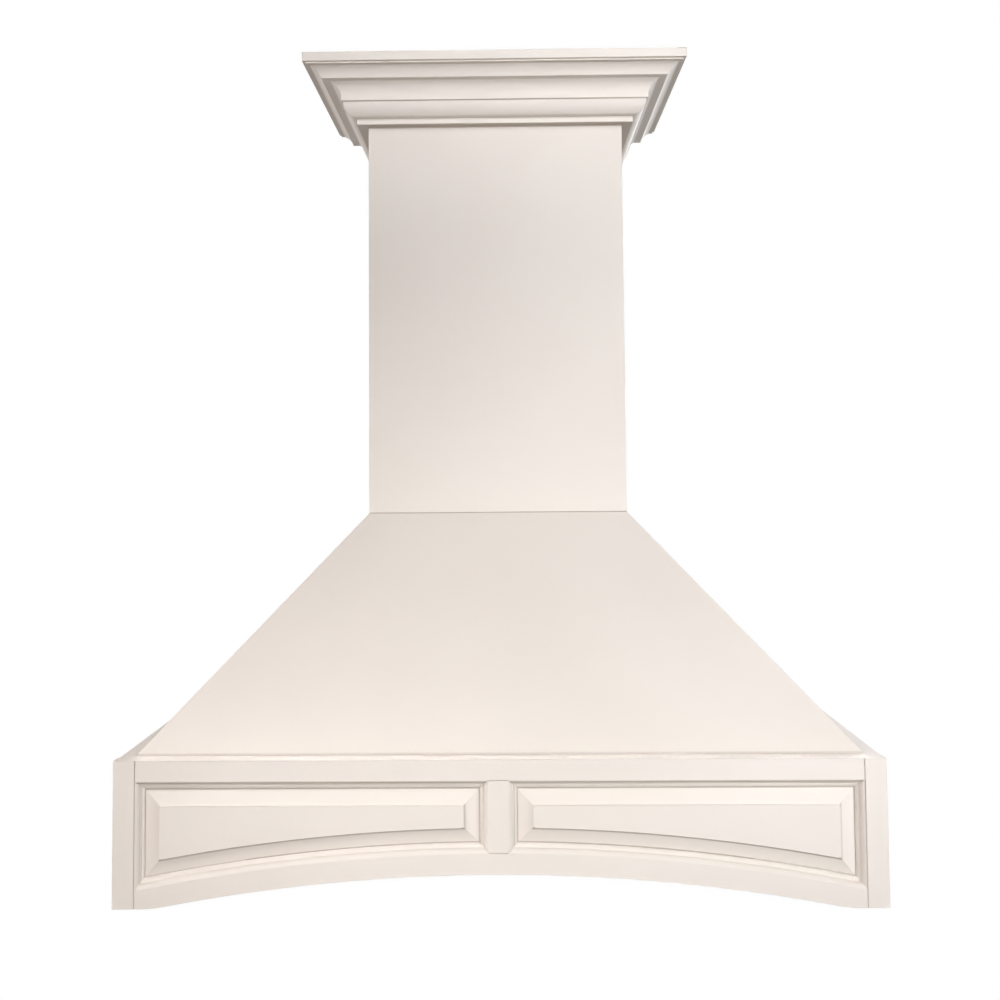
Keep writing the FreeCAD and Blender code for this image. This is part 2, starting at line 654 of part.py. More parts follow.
def filter_keepers():
    """Hooked straps on the rear wall of the plenum that carry the filters' pivot bars."""
    wall = MOUTH_REAR - PIVOT_Y
    seat = PIVOT_R + PIVOT_CLEARANCE
    strap = SHEET
    section = [(wall, PIVOT_R), (wall, -seat - strap), (-seat - strap, -seat - strap),
               (-seat - strap, -seat + strap), (-seat, -seat + strap), (-seat, -seat), (seat, -seat),
               (seat, PIVOT_R)]
    keepers = []
    for x in filter_centres():
        for side in (-1, 1):
            start = x + side * (FILTER_WIDTH / 2 - KEEPER_INSET) - KEEPER_WIDTH / 2
            face = outline(lambda u, w: V(start, PIVOT_Y + u, PIVOT_Z + w), *section)
            keepers.append(face.extrude(V(KEEPER_WIDTH, 0, 0)))
    return group(keepers)


def button_places():
    """Centres of the push buttons on the underside of the control strip."""
    first = -BUTTON_PITCH * (len(BUTTONS) - 1) / 2
    return [V(first + i * BUTTON_PITCH, CONTROL_Y, LINER_BOTTOM) for i in range(len(BUTTONS))]


def control_fascia():
    """Trim strip under the pan with a round hole for each button."""
    half = FASCIA_LENGTH / 2
    reach = FASCIA_WIDTH / 2
    strip = box(-half, half, CONTROL_Y - reach, CONTROL_Y + reach, LINER_BOTTOM - FASCIA_SHEET, LINER_BOTTOM)
    strip = strip.makeFillet(FASCIA_CORNER_R, [e for e in strip.Edges if abs(e.Length - FASCIA_SHEET) < 0.01])
    for place in button_places():
        strip = strip.cut(rod(BUTTON_R + BUTTON_CLEARANCE, place - V(0, 0, FASCIA_SHEET), place))
    return strip


def button_stem_top():
    """Height of a button's stem at rest."""
    return LINER_BOTTOM + BUTTON_SEAT_GAP + BUTTON_FLANGE + BUTTON_STEM


def button(place):
    """Turned cap of one button, with the square flange that keeps it in the strip and a square stem."""
    cap_foot = -FASCIA_SHEET - BUTTON_PROUD
    flange = BUTTON_SEAT_GAP
    face = outline(lambda r, z: place + V(r, 0, z), (0, cap_foot), (BUTTON_R - EDGE_EASE, cap_foot),
                   (BUTTON_R, cap_foot + EDGE_EASE), (BUTTON_R, flange), (0, flange))
    cap = face.revolve(place, V(0, 0, 1), 360)
    foot = place.z + flange
    for side, top in ((BUTTON_FLANGE_SIDE, foot + BUTTON_FLANGE), (BUTTON_STEM_SIDE, button_stem_top())):
        half = side / 2
        cap = cap.fuse(box(place.x - half, place.x + half, place.y - half, place.y + half, foot, top))
    return cap.removeSplitter()


def switch_foot():
    """Height of the switches: just past the end of a button's travel."""
    return button_stem_top() + BUTTON_TRAVEL + SWITCH_GAP


def button_switches():
    """Small switch bodies in a row above the stems, held by the housing's roof."""
    half = SWITCH_SIZE / 2
    foot = switch_foot()
    return group([box(p.x - half, p.x + half, p.y - half, p.y + half, foot, foot + SWITCH_HEIGHT)
                  for p in button_places()])


def control_housing():
    """Folded cover over the buttons on top of the pan."""
    half = FASCIA_LENGTH / 2
    reach = FASCIA_WIDTH / 2
    roof = switch_foot() + SWITCH_HEIGHT + SHEET
    return open_box(half, CONTROL_Y - reach, CONTROL_Y + reach, LINER_TOP, roof)


def lamp_places():
    """Centres of the two lamps on the underside of the pan."""
    return [V(side * (SIDE_IN - LAMP_INSET), CONTROL_Y, LINER_BOTTOM) for side in (-1, 1)]


def lamp_bezels():
    """Flanged rings with their cans, one turned piece each."""
    inner = LAMP_LENS_R + LAMP_CLEARANCE
    outer = inner + LAMP_WALL
    lip = LAMP_LENS_R - LAMP_LIP
    seat = -LAMP_FLANGE / 2
    roof = LAMP_DEPTH - LAMP_WALL
    section = [(lip, seat), (lip, -LAMP_FLANGE), (LAMP_FLANGE_R - EDGE_EASE, -LAMP_FLANGE),
               (LAMP_FLANGE_R, EDGE_EASE - LAMP_FLANGE), (LAMP_FLANGE_R, 0), (outer, 0), (outer, LAMP_DEPTH),
               (0, LAMP_DEPTH), (0, roof), (inner, roof), (inner, seat)]
    return group([outline(lambda r, z: place + V(r, 0, z), *section).revolve(place, V(0, 0, 1), 360)
                  for place in lamp_places()])


def lamp_lenses():
    """Flat round lenses that lie on the bezels' lips."""
    seats = [place - V(0, 0, LAMP_FLANGE / 2) for place in lamp_places()]
    return group([rod(LAMP_LENS_R, seat, seat + V(0, 0, LAMP_LENS)) for seat in seats])


def scroll_path(sheet):
    """Points of the scroll by quarter turns about four centres, a sheet's thickness out from the wheel."""
    g = SCROLL_GROWTH / 2
    top = CHAMBER_TOP - SHEET - AXIS_Z
    s = math.sqrt(0.5)
    radii = [SCROLL_R + i * SCROLL_GROWTH + sheet for i in range(3)]
    tongue = -g + math.sqrt(radii[0] ** 2 - sheet ** 2)
    half_way = [(-g - s * radii[0], -g + s * radii[0]), (g - s * radii[1], -g - s * radii[1]),
                (g + s * radii[2], g - s * radii[2])]
    ends = [(-g - radii[0], -g), (g, -g - radii[1]), (g + radii[2], g)]
    return (-g - sheet, top), (-g - sheet, tongue), list(zip(half_way, ends)), (g + radii[2], top)


def scroll_wrap():
    """Rolled sheet from the tongue round the wheel and up the outlet."""
    head, tongue, turns, end = scroll_path(0)
    out_head, out_tongue, out_turns, out_end = scroll_path(SHEET)
    back = [out_turns[2][1]]
    back += [(out_turns[i][0], out_turns[i - 1][1]) for i in (2, 1)]
    back += [(out_turns[0][0], out_tongue), out_head]
    face = outline(lambda h, v: V(-SCROLL_HALF, AXIS_Y + h, AXIS_Z + v), head, tongue, *turns, end, out_end,
                   *back)
    return face.extrude(V(2 * SCROLL_HALF, 0, 0))


def scroll_plate():
    """Left side of the scroll with its inlet turned inwards to a short lip."""
    head, tongue, turns, end = scroll_path(SHEET)
    outside = -SCROLL_HALF - SHEET
    plate = outline(lambda h, v: V(outside, AXIS_Y + h, AXIS_Z + v), head, tongue, *turns, end)
    plate = plate.extrude(V(SHEET, 0, 0))
    centre = V(0, AXIS_Y, AXIS_Z)
    plate = plate.cut(rod(INLET_R, centre + V(outside, 0, 0), centre + V(-SCROLL_HALF, 0, 0)))
    rim = INLET_R + SHEET
    lip = outline(lambda x, r: centre + V(x, 0, r), (outside, INLET_R), (INLET_LIP - SCROLL_HALF, INLET_R),
                  (INLET_LIP - SCROLL_HALF, rim), (outside, rim))
    return plate.fuse(lip.revolve(centre, V(1, 0, 0), 360)).removeSplitter()


def motor_body():
    """Turned motor can with a bearing nose towards the wheel and a bore for the shaft."""
    nose = -HUB_HALF - MOTOR_GAP
    face = nose - MOTOR_NOSE
    tail = face - MOTOR_LENGTH
    bore = SHAFT_R + SHAFT_CLEARANCE
    centre = V(0, AXIS_Y, AXIS_Z)
    ease = 3 * EDGE_EASE
    section = [(tail, bore), (tail, MOTOR_R - ease), (tail + ease, MOTOR_R), (face - ease, MOTOR_R),
               (face, MOTOR_R - ease), (face, MOTOR_NOSE_R), (nose, MOTOR_NOSE_R), (nose, bore)]
    return outline(lambda x, r: centre + V(x, 0, r), *section).revolve(centre, V(1, 0, 0), 360)


def motor_bracket():
    """Flat spider on the left plate: a ring round the motor and three arms across the inlet."""
    back = -SCROLL_HALF - SHEET
    centre = V(back, AXIS_Y, AXIS_Z)
    out = V(-BRACKET_SHEET, 0, 0)
    spider = rod(MOTOR_R + BRACKET_RING, centre, centre + out)
    half = BRACKET_ARM_WIDTH / 2
    for i in range(BRACKET_ARMS):
        arm = box(back - BRACKET_SHEET, back, AXIS_Y - half, AXIS_Y + half, AXIS_Z, AXIS_Z + BRACKET_REACH)
        arm.rotate(centre, V(1, 0, 0), 360 * i / BRACKET_ARMS)
        spider = spider.fuse(arm)
    return spider.cut(rod(MOTOR_R + SHAFT_CLEARANCE, centre, centre + out)).removeSplitter()


def motor_shaft():
    """Shaft from the tail of the motor through the hub of the wheel."""
    centre = V(0, AXIS_Y, AXIS_Z)
    tail = -HUB_HALF - MOTOR_GAP - MOTOR_NOSE - MOTOR_LENGTH
    return rod(SHAFT_R, centre + V(tail, 0, 0), centre + V(HUB_HALF, 0, 0))


def impeller_wheel():
    """Double wheel: a hub and disc in the middle, bent blades on both sides and an end ring on each."""
    centre = V(0, AXIS_Y, AXIS_Z)
    half_disc = WHEEL_DISC / 2
    section = [(-HUB_HALF, SHAFT_R), (-HUB_HALF, HUB_R), (-half_disc, HUB_R), (-half_disc, IMPELLER_R),
               (half_disc, IMPELLER_R), (half_disc, HUB_R), (HUB_HALF, HUB_R), (HUB_HALF, SHAFT_R)]
    pieces = [outline(lambda x, r: centre + V(x, 0, r), *section).revolve(centre, V(1, 0, 0), 360)]
    inner = IMPELLER_R - BLADE_DEPTH
    tip = IMPELLER_R - BLADE_SHEET
    front = [(0, inner), (BLADE_BEND, (inner + tip) / 2), (BLADE_DEPTH / 2, tip)]
    back = [(h - BLADE_SHEET, r) for h, r in reversed(front)]
    length = IMPELLER_HALF - WHEEL_RING - half_disc
    for way in (-1, 1):
        blade = outline(lambda h, r: centre + V(way * half_disc, h, r), *front, *back)
        blade = blade.extrude(V(way * length, 0, 0))
        for i in range(BLADES):
            copy = blade.copy()
            copy.rotate(centre, V(1, 0, 0), 360 * i / BLADES)
            pieces.append(copy)
        start = centre + V(way * (IMPELLER_HALF - WHEEL_RING), 0, 0)
        end = centre + V(way * IMPELLER_HALF, 0, 0)
        pieces.append(rod(IMPELLER_R, start, end).cut(rod(inner, start, end)))
    return group(pieces)


def blower_chamber():
    """Folded sheet box round the scroll, open to the plenum below and to the collar above."""
    chamber = open_box(CHAMBER_HALF, CHAMBER_FRONT, CHAMBER_REAR, PLENUM_TOP, CHAMBER_TOP)
    mouth = V(0, DUCT_Y, CHAMBER_TOP - SHEET)
    return chamber.cut(rod(COLLAR_IN - FLAP_STOP, mouth, mouth + V(0, 0, SHEET)))


def duct_collar():
    """Round collar on a square flange, with a stop ledge for the flaps and holes for their pins."""
    foot = V(0, DUCT_Y, CHAMBER_TOP)
    head = V(0, DUCT_Y, COLLAR_TOP)
    flange = box(-COLLAR_FLANGE, COLLAR_FLANGE, DUCT_Y - COLLAR_FLANGE, DUCT_Y + COLLAR_FLANGE, CHAMBER_TOP,
                 CHAMBER_TOP + SHEET)
    collar = flange.fuse(rod(COLLAR_R, foot, head)).cut(rod(COLLAR_IN, foot, head))
    stop_top = DAMPER_Z - FLAP_SHEET / 2 - DAMPER_CLEARANCE
    ledge_foot = V(0, DUCT_Y, stop_top - COLLAR_WALL)
    ledge_head = V(0, DUCT_Y, stop_top)
    ledge = rod(COLLAR_IN, ledge_foot, ledge_head).cut(rod(COLLAR_IN - FLAP_STOP, ledge_foot, ledge_head))
    notch = DAMPER_PIN_HALF_SPACING + DAMPER_PIN_R + DAMPER_SLEEVE + 2 * DAMPER_CLEARANCE
    ledge = ledge.cut(box(-COLLAR_IN, COLLAR_IN, DUCT_Y - notch, DUCT_Y + notch, ledge_foot.z, ledge_head.z))
    collar = collar.fuse(ledge)
    for pin in pin_lines():
        collar = collar.cut(rod(DAMPER_PIN_R + SHAFT_CLEARANCE, *pin))
    return collar.removeSplitter()


def pin_lines():
    """Ends of the two damper pins, just inside the outer face of the collar."""
    lines = []
    for side in (-1, 1):
        y = side * DAMPER_PIN_HALF_SPACING
        reach = math.sqrt(COLLAR_R ** 2 - (DAMPER_PIN_HALF_SPACING + DAMPER_PIN_R) ** 2) - DAMPER_CLEARANCE
        lines.append((V(-reach, DUCT_Y + y, DAMPER_Z), V(reach, DUCT_Y + y, DAMPER_Z)))
    return lines


def damper_pins():
    """Two parallel pins across the collar."""
    return group([rod(DAMPER_PIN_R, *line) for line in pin_lines()])


def damper_flap(side):
    """Half-round flap rolled round its pin; side is -1 for the front and 1 for the rear."""
    radius = COLLAR_IN - FLAP_EDGE_GAP
    pin = DAMPER_PIN_HALF_SPACING
    reach = math.sqrt(radius ** 2 - pin ** 2)
    low = DAMPER_Z - FLAP_SHEET / 2
    face = outline(lambda x, y: V(x, DUCT_Y + side * y, low), (-reach, pin), ((0, radius), (reach, pin)))
    flap = face.extrude(V(0, 0, FLAP_SHEET))
    y = DUCT_Y + side * pin
    trim = DAMPER_PIN_R + DAMPER_SLEEVE
    flap = flap.cut(rod(trim, V(-reach, y, DAMPER_Z), V(reach, y, DAMPER_Z)))
    start = V(-DAMPER_SLEEVE_HALF, y, DAMPER_Z)
    end = V(DAMPER_SLEEVE_HALF, y, DAMPER_Z)
    flap = flap.fuse(rod(trim, start, end))
    return flap.cut(rod(DAMPER_PIN_R + DAMPER_CLEARANCE, start, end)).removeSplitter()


def gland_place():
    """Middle of the cable gland, on the wall side of the junction box."""
    y = (CHAMBER_FRONT + CHAMBER_REAR) / 2 + BOX_LENGTH / 2
    return V(CHAMBER_HALF + BOX_DEPTH / 2, y, PLENUM_TOP + BOX_LIFT + BOX_HEIGHT / 2)


def junction_box():
    """Wiring box on the right wall of the chamber, with a cover and an empty cable gland."""
    x = CHAMBER_HALF
    y = (CHAMBER_FRONT + CHAMBER_REAR) / 2
    half = BOX_LENGTH / 2
    foot = PLENUM_TOP + BOX_LIFT
    top = foot + BOX_HEIGHT
    shell = box(x, x + BOX_DEPTH, y - half, y + half, foot, top)
    shell = shell.cut(box(x + BOX_WALL, x + BOX_DEPTH, y - half + BOX_WALL, y + half - BOX_WALL,
                          foot + BOX_WALL, top - BOX_WALL))
    middle = gland_place()
    end = middle + V(0, GLAND_LENGTH, 0)
    shell = shell.fuse(rod(GLAND_R, middle, end)).cut(rod(GLAND_BORE_R, middle - V(0, BOX_WALL, 0), end))
    cover = box(x + BOX_DEPTH, x + BOX_DEPTH + BOX_COVER, y - half, y + half, foot, top)
    return group([shell, cover])


def build():
    """Every node of the hood by name."""
    nodes = {}
    names = ("chimney_front_board", "chimney_left_board", "chimney_right_board")
    nodes.update(zip(names, chimney_boards()))
    nodes["chimney_corner_posts"] = chimney_corner_posts()
    nodes["wall_rails"] = wall_rails()
    names = ("canopy_front_board", "canopy_left_board", "canopy_right_board")
    nodes.update(zip(names, canopy_boards()))
    nodes["canopy_battens"] = batten_frame(SKIRT_HEIGHT - BATTEN)
    nodes["skirt_left_board"] = skirt_side()
    nodes["skirt_right_board"] = mirrored(nodes["skirt_left_board"])
    nodes["skirt_back_board"] = skirt_back()
    nodes["skirt_front_lining"] = skirt_lining()

    left_stile = apron_stile()
    right_stile = mirrored(left_stile)
    stiles = [left_stile, right_stile]
    top_rail = apron_top_rail(stiles)
    bottom_rail = apron_bottom_rail(stiles)
    centre_stile = apron_centre_stile([top_rail, bottom_rail])
    grooves = joint_grooves()
    nodes["apron_left_stile"] = left_stile.cut(grooves)
    nodes["apron_right_stile"] = right_stile.cut(grooves)
    nodes["apron_top_rail"] = top_rail.cut(grooves)
    nodes["apron_bottom_rail"] = bottom_rail.cut(grooves)
    nodes["apron_centre_stile"] = centre_stile.cut(grooves)
    nodes["apron_left_panel"] = raised_panel()
    nodes["apron_right_panel"] = mirrored(nodes["apron_left_panel"])
    nodes.update(zip(("crown_front", "crown_left", "crown_right"), crown_mouldings()))

    nodes["liner_battens"] = batten_frame(LINER_TOP)
    nodes["liner_pan"] = liner_pan()
    nodes["plenum_box"] = plenum_box()
    nodes["filter_keepers"] = filter_keepers()
    for name, x in zip(("left", "centre", "right"), filter_centres()):
        nodes["filter_%s_frame" % name] = filter_frame(x)
        nodes["filter_%s_baffles" % name] = filter_baffles(x)
        nodes["filter_%s_handle" % name] = filter_handle(x)

    nodes["control_fascia"] = control_fascia()
    nodes["control_housing"] = control_housing()
    for name, place in zip(BUTTONS, button_places()):
        nodes["button_" + name] = button(place)
    nodes["button_switches"] = button_switches()
    nodes["lamp_bezels"] = lamp_bezels()
    nodes["lamp_lenses"] = lamp_lenses()

    nodes["blower_chamber"] = blower_chamber()
    nodes["scroll_wrap"] = scroll_wrap()
    nodes["scroll_left_plate"] = scroll_plate()
    nodes["scroll_right_plate"] = mirrored(nodes["scroll_left_plate"])
    nodes["motor_body"] = motor_body()
    nodes["motor_bracket"] = motor_bracket()
    nodes["motor_shaft"] = motor_shaft()
    nodes["impeller_wheel"] = impeller_wheel()
    nodes["duct_collar"] = duct_collar()
    nodes["damper_pins"] = damper_pins()
    nodes["damper_front_flap"] = damper_flap(-1)
    nodes["damper_rear_flap"] = damper_flap(1)
    nodes["junction_box"] = junction_box()
    return nodes


def main():
    os.makedirs("parts", exist_ok=True)
    for name, shape in build().items():
        shape.exportStep("parts/%s.step" % name)
        facts = (name, len(shape.Solids), shape.Volume, shape.isValid())
        print("%-24s solids %2d volume %12.1f valid %s" % facts)


main()
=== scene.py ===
"""Wall range hood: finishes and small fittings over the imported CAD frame, on a plain studio stage."""
import json
import math

import bpy
from bpy.props import FloatProperty, FloatVectorProperty, PointerProperty
from mathutils import Matrix, Vector


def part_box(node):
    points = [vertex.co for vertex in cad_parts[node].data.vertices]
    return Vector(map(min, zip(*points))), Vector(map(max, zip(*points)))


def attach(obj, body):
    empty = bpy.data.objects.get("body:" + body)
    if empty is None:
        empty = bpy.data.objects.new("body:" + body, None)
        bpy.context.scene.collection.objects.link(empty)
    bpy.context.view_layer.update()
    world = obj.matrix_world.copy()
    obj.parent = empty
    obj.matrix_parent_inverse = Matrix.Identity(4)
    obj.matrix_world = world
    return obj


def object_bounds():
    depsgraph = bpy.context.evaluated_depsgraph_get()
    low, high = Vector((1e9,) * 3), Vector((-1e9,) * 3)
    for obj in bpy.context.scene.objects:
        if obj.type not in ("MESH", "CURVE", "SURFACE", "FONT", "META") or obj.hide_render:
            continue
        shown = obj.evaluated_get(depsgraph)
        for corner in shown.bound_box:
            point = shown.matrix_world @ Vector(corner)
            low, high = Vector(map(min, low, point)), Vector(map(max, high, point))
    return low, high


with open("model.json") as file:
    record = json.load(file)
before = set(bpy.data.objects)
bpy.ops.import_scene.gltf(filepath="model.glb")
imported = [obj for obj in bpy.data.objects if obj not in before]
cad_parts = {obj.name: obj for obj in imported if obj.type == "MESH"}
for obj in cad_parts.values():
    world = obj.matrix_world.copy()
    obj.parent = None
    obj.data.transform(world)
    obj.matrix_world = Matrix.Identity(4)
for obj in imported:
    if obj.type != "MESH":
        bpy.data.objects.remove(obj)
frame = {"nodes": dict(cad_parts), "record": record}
CAD_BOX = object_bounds()

bl_info = {
    "name": "Range hood",
    "version": (1, 0, 0),
    "blender": (4, 5, 0),
    "location": "View3D > Sidebar > Hood",
    "description": "Finishes, fittings and stage of a painted wooden wall range hood",
    "category": "Object",
}

SIDES = ("left", "centre", "right")

# Ways that a fastener can look
UP = (0, 0, 1)
DOWN = (0, 0, -1)
RIGHT = (1, 0, 0)
BACK = (0, 1, 0)

# Least upright share in the normal of a level face
LEVEL = 0.9

# Edges flatter than this are shaded smooth
SMOOTH_ANGLE = math.radians(35)

# Heights and depths that the finishes follow, from the frame
HOOD_FRONT = CAD_BOX[0][1]
HOOD_TOP = CAD_BOX[1][2]
CROWN_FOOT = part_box("crown_front")[0][2]
CHIMNEY_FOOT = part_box("chimney_front_board")[0][2]
CANOPY_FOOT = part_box("canopy_front_board")[0][2]
LINING_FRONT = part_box("skirt_front_lining")[0][1]
PAN_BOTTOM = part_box("liner_pan")[0][2]

# Bare wood starts a little inside the apron's lining and the pan, and within a short reach of the wall
BARE_BEHIND = LINING_FRONT + 0.005
BARE_ABOVE = PAN_BOTTOM + 0.0005
WALL_REACH = 0.02

# Least turn of a bare face: to the hood's middle, times its distance from there, and to the wall
INWARD = 0.04
BACKWARD = 0.4

# Painted shade: the apron's fine lines darken the paint where shadow falls in its quirks, below the raised
# fields and on their right-hand sides
# Painted shade lines in the apron: depth behind its front, half width, and the way that the lined faces look
FRAMING_SHADE_LINES = ((0.0010, 0.0010, "down"), (0.0069, 0.0007, "right"), (0.0111, 0.0009, "down or right"))
PANEL_SHADE_LINES = ((0.0041, 0.0009, "down or right"), (0.0113, 0.0007, "all"))

# Painted shade: level dark lines where shadow falls under the crown's mouldings, under the crown on the
# chimney, and at the feet of the chimney and the canopy
# Painted shade lines of the crown, the chimney and the canopy: height, half width and strength
CROWN_SHADE_LINES = (
    (HOOD_TOP - 0.0124, 0.0012, 0.6),
    (HOOD_TOP - 0.0150, 0.0010, 0.7),
    (HOOD_TOP - 0.0300, 0.0010, 0.4),
    (HOOD_TOP - 0.0550, 0.0012, 0.7),
    (HOOD_TOP - 0.0760, 0.0030, 0.5),
    (CROWN_FOOT, 0.0010, 1.0),
)
CHIMNEY_SHADE_LINES = ((CROWN_FOOT - 0.0005, 0.0022, 1.0), (CHIMNEY_FOOT, 0.0016, 0.9))
CANOPY_SHADE_LINES = ((CANOPY_FOOT + 0.0005, 0.0026, 0.42),)

# Painted shade lines mostly keep to the faces turned down or to the right, away from the light from above and
# the left
# Lined faces: least turn down or sideways, most upward turn of a side face, strength on side faces, and the
# share of a line's half width that has its full tone
LINE_TURN = 0.05
LINE_UPTURN = 0.3
SIDE_STRENGTH = 0.5
LINE_CORE = 0.3

# Marks per metre in the finishes, by axis; in the grain: along, across and into the board
BRUSH_DRAG = (260.0, 260.0, 9.0)
BRUSHED_ACROSS = (5.0, 900.0, 900.0)
BRUSHED_BACK = (900.0, 5.0, 900.0)
ROLLED_ACROSS = (6.0, 700.0, 700.0)
GRAIN_WANDER = (1.6, 9.0, 9.0)
GRAIN_FIBRE = (12.0, 500.0, 500.0)

# Growth rings: lean across the board, how far they wander in metres, and how sharply the late wood ends
RING_LEAN = 0.8
RING_WANDER = 0.09
RING_SHARPNESS = 3.0

# Share of the spray texture in the paint's relief; brush drag has the rest
PEEL_SHARE = 0.7

# Screws along the pan's long edges, as shares of its half width, and along its short ones, as shares of its
# depth
PAN_LONG_SHARES = (-1, -0.4, 0.4, 1)
PAN_SHORT_SHARES = (1 / 3, 2 / 3)

# Length of a screw's cross slot, as a share of the head's radius
SLOT_SHARE = 1.1

# The reflector's rings, and the share of the way to the lens that it spans
BOWL_RINGS = 8
BOWL_REACH = 0.96

# Studio lamps: place, the point that each looks at, width and height in metres, power in watts, colour, and
# angle of the beam in degrees
HOOD_MIDDLE = (0, -0.3, 0.45)
WARM = (1.0, 0.94, 0.90)
WHITE = (1.0, 1.0, 1.0)
COOL = (0.92, 0.97, 1.0)
OPEN_BEAM = 180
LAMPS = {
    "front": ((0, -3.2, 0.5), HOOD_MIDDLE, (1.6, 1.6), 9.5, WARM, OPEN_BEAM),
    "right": ((1.7, -2.0, 0.5), HOOD_MIDDLE, (0.8, 0.8), 17.0, COOL, OPEN_BEAM),
    "left": ((-2.4, -0.5, 0.9), HOOD_MIDDLE, (0.8, 0.8), 22.0, WARM, OPEN_BEAM),
    "right_low": ((1.1, -2.0, 0.1), HOOD_MIDDLE, (0.8, 0.8), 3.2, WHITE, OPEN_BEAM),
    "apron_left": ((-0.9, -1.5, 1.1), (-0.1, -0.6, 0.0), (0.25, 0.25), 0.98, WHITE, 60),
    "apron_front": ((0, -2.4, 0.3), (0, -0.6, 0.05), (0.8, 0.8), 0.5, WHITE, 45),
    "apron_low": ((-1.3, -2.0, 0.05), (-0.1, -0.6, 0.0), (0.5, 0.5), 0.72, WARM, 60),
    "canopy": ((1.1, -1.5, 0.6), (0.36, -0.46, 0.28), (0.4, 0.4), 0.37, COOL, 40),
    "chimney": ((0.8, -1.5, 0.95), (0.14, -0.34, 0.84), (0.5, 0.5), 0.42, COOL, 38),
    "crown": ((0, -1.7, 1.4), (0, -0.42, 1.2), (1.0, 0.2), 0.55, WHITE, 30),
    "ledge": ((0, -0.591, 0.75), (0, -0.587, 0.172), (0.88, 0.02), 0.036, WHITE, 3),
    "under": ((0, -0.3, -1.4), (0, -0.3, 0.05), (1.2, 1.2), 6.0, WHITE, OPEN_BEAM),
    "behind": ((0.9, 2.4, 1.5), HOOD_MIDDLE, (1.2, 1.2), 24.0, WHITE, OPEN_BEAM),
}

# White of the backdrop, side of the floor in metres, and width of the camera's sensor in millimetres
BACKDROP = {"Color": (1, 1, 1, 1), "Strength": 1.0}
FLOOR_SIDE = 40
SENSOR_WIDTH = 36


def colour(name, description, default):
    """A colour setting, in linear light."""
    return FloatVectorProperty(name=name, description=description, subtype="COLOR", size=3, min=0, max=1,
                               default=default)


def amount(name, description, default):
    """A setting between none and all."""
    return FloatProperty(name=name, description=description, subtype="FACTOR", default=default, min=0, max=1)


def length(name, description, default):
    """A length setting in metres."""
    return FloatProperty(name=name, description=description, default=default, unit="LENGTH")


def angle(name, description, default):
    """An angle setting, given in degrees."""
    return FloatProperty(name=name, description=description, default=math.radians(default), subtype="ANGLE")


class HoodPaint(bpy.types.PropertyGroup):
    """The painted woodwork."""
    coat: colour("Paint", "Warm white of the painted outside", (0.818, 0.757, 0.705))
    coat_thin: colour("Thin paint", "Slightly deeper tone in the faint clouding", (0.799, 0.736, 0.682))
    roughness: amount("Roughness", "Sheen of the satin paint", 0.5)
    gloss: amount("Gloss", "Strength of the satin paint's reflection", 0.5)
    # Painted shade: the fine line's tone darkens the paint where shadow falls in quirks, at joints and under
    # mouldings
    line: colour("Fine line", "Tone of the paint that gathers in quirks and joints", (0.46, 0.395, 0.335))
    peel: length("Peel", "Size of the fine spray texture", 0.0035)
    arris: length("Arris", "Radius that softens the sharp edges", 0.0005)


class HoodTimber(bpy.types.PropertyGroup):
    """Bare wood inside the shell."""
    pale: colour("Pale wood", "Early wood", (0.60, 0.43, 0.26))
    dark: colour("Dark wood", "Late wood", (0.40, 0.25, 0.13))
    ring: length("Ring", "Width of a growth ring", 0.009)
    roughness: amount("Roughness", "Planed surface", 0.68)


class HoodMetal(bpy.types.PropertyGroup):
    """Steel, zinc and aluminium."""
    steel: colour("Steel", "Brushed and polished steel", (0.56, 0.55, 0.53))
    zinc_light: colour("Zinc light", "Bright spangle", (0.58, 0.60, 0.62))
    zinc_dark: colour("Zinc dark", "Dull spangle", (0.40, 0.42, 0.44))
    aluminium: colour("Aluminium", "Mill finish", (0.68, 0.68, 0.69))
    spangle: length("Spangle", "Size of the zinc crystals", 0.012)


class HoodElectrics(bpy.types.PropertyGroup):
    """Motor, switches and lamps."""
    enamel: colour("Enamel", "Motor can", (0.018, 0.018, 0.020))
    plastic: colour("Plastic", "Switch bodies", (0.022, 0.022, 0.022))
    lens: colour("Lens", "Frosted lamp lens", (0.92, 0.92, 0.88))
    board: colour("Lamp board", "Solder mask of the lamp's board", (0.82, 0.82, 0.80))
    phosphor: colour("Phosphor", "Cover of the light chips", (0.85, 0.66, 0.16))


class HoodFittings(bpy.types.PropertyGroup):
    """Small screws, rivets and lamp parts."""
    screw_radius: length("Screw head", "Radius of the screw heads", 0.0042)
    screw_height: length("Screw height", "How far a screw head stands out", 0.0022)
    slot_width: length("Slot width", "Width of the cross slot in a screw head", 0.0010)
    slot_depth: length("Slot depth", "Depth of the cross slot in a screw head", 0.0010)
    rivet_radius: length("Rivet", "Radius of the rivet heads", 0.0026)
    rivet_height: length("Rivet height", "How far a rivet head stands out", 0.0012)
    foot_length: length("Pull foot", "Length of the folded feet of a filter's pull", 0.014)
    foot_sheet: length("Foot sheet", "Thickness of the folded feet", 0.0014)
    edge_inset: length("Edge inset", "Distance of the fasteners from the edge of a sheet", 0.008)
    board_radius: length("Lamp board", "Radius of the lamp's circuit board", 0.0125)
    board_sheet: length("Board sheet", "Thickness of the lamp's circuit board", 0.0016)
    chip: length("Light chip", "Side of one light chip", 0.0028)
    nut_radius: length("Gland nut", "Radius to the corners of the gland's nut", 0.0150)
    nut_height: length("Nut height", "Thickness of the gland's nut", 0.0060)
    gland_radius: length("Gland", "Radius of the cable gland inside the nut", 0.0110)
    gland_length: length("Gland length", "How far the gland stands out of the junction box", 0.0140)
    sheet: length("Sheet", "Thickness of the insert's sheet metal", 0.0015)
    bowl_wall: length("Bowl wall", "Thickness of the lamp's reflector", 0.0006)
    chip_pitch: length("Chip pitch", "Distance between light chips", 0.0050)


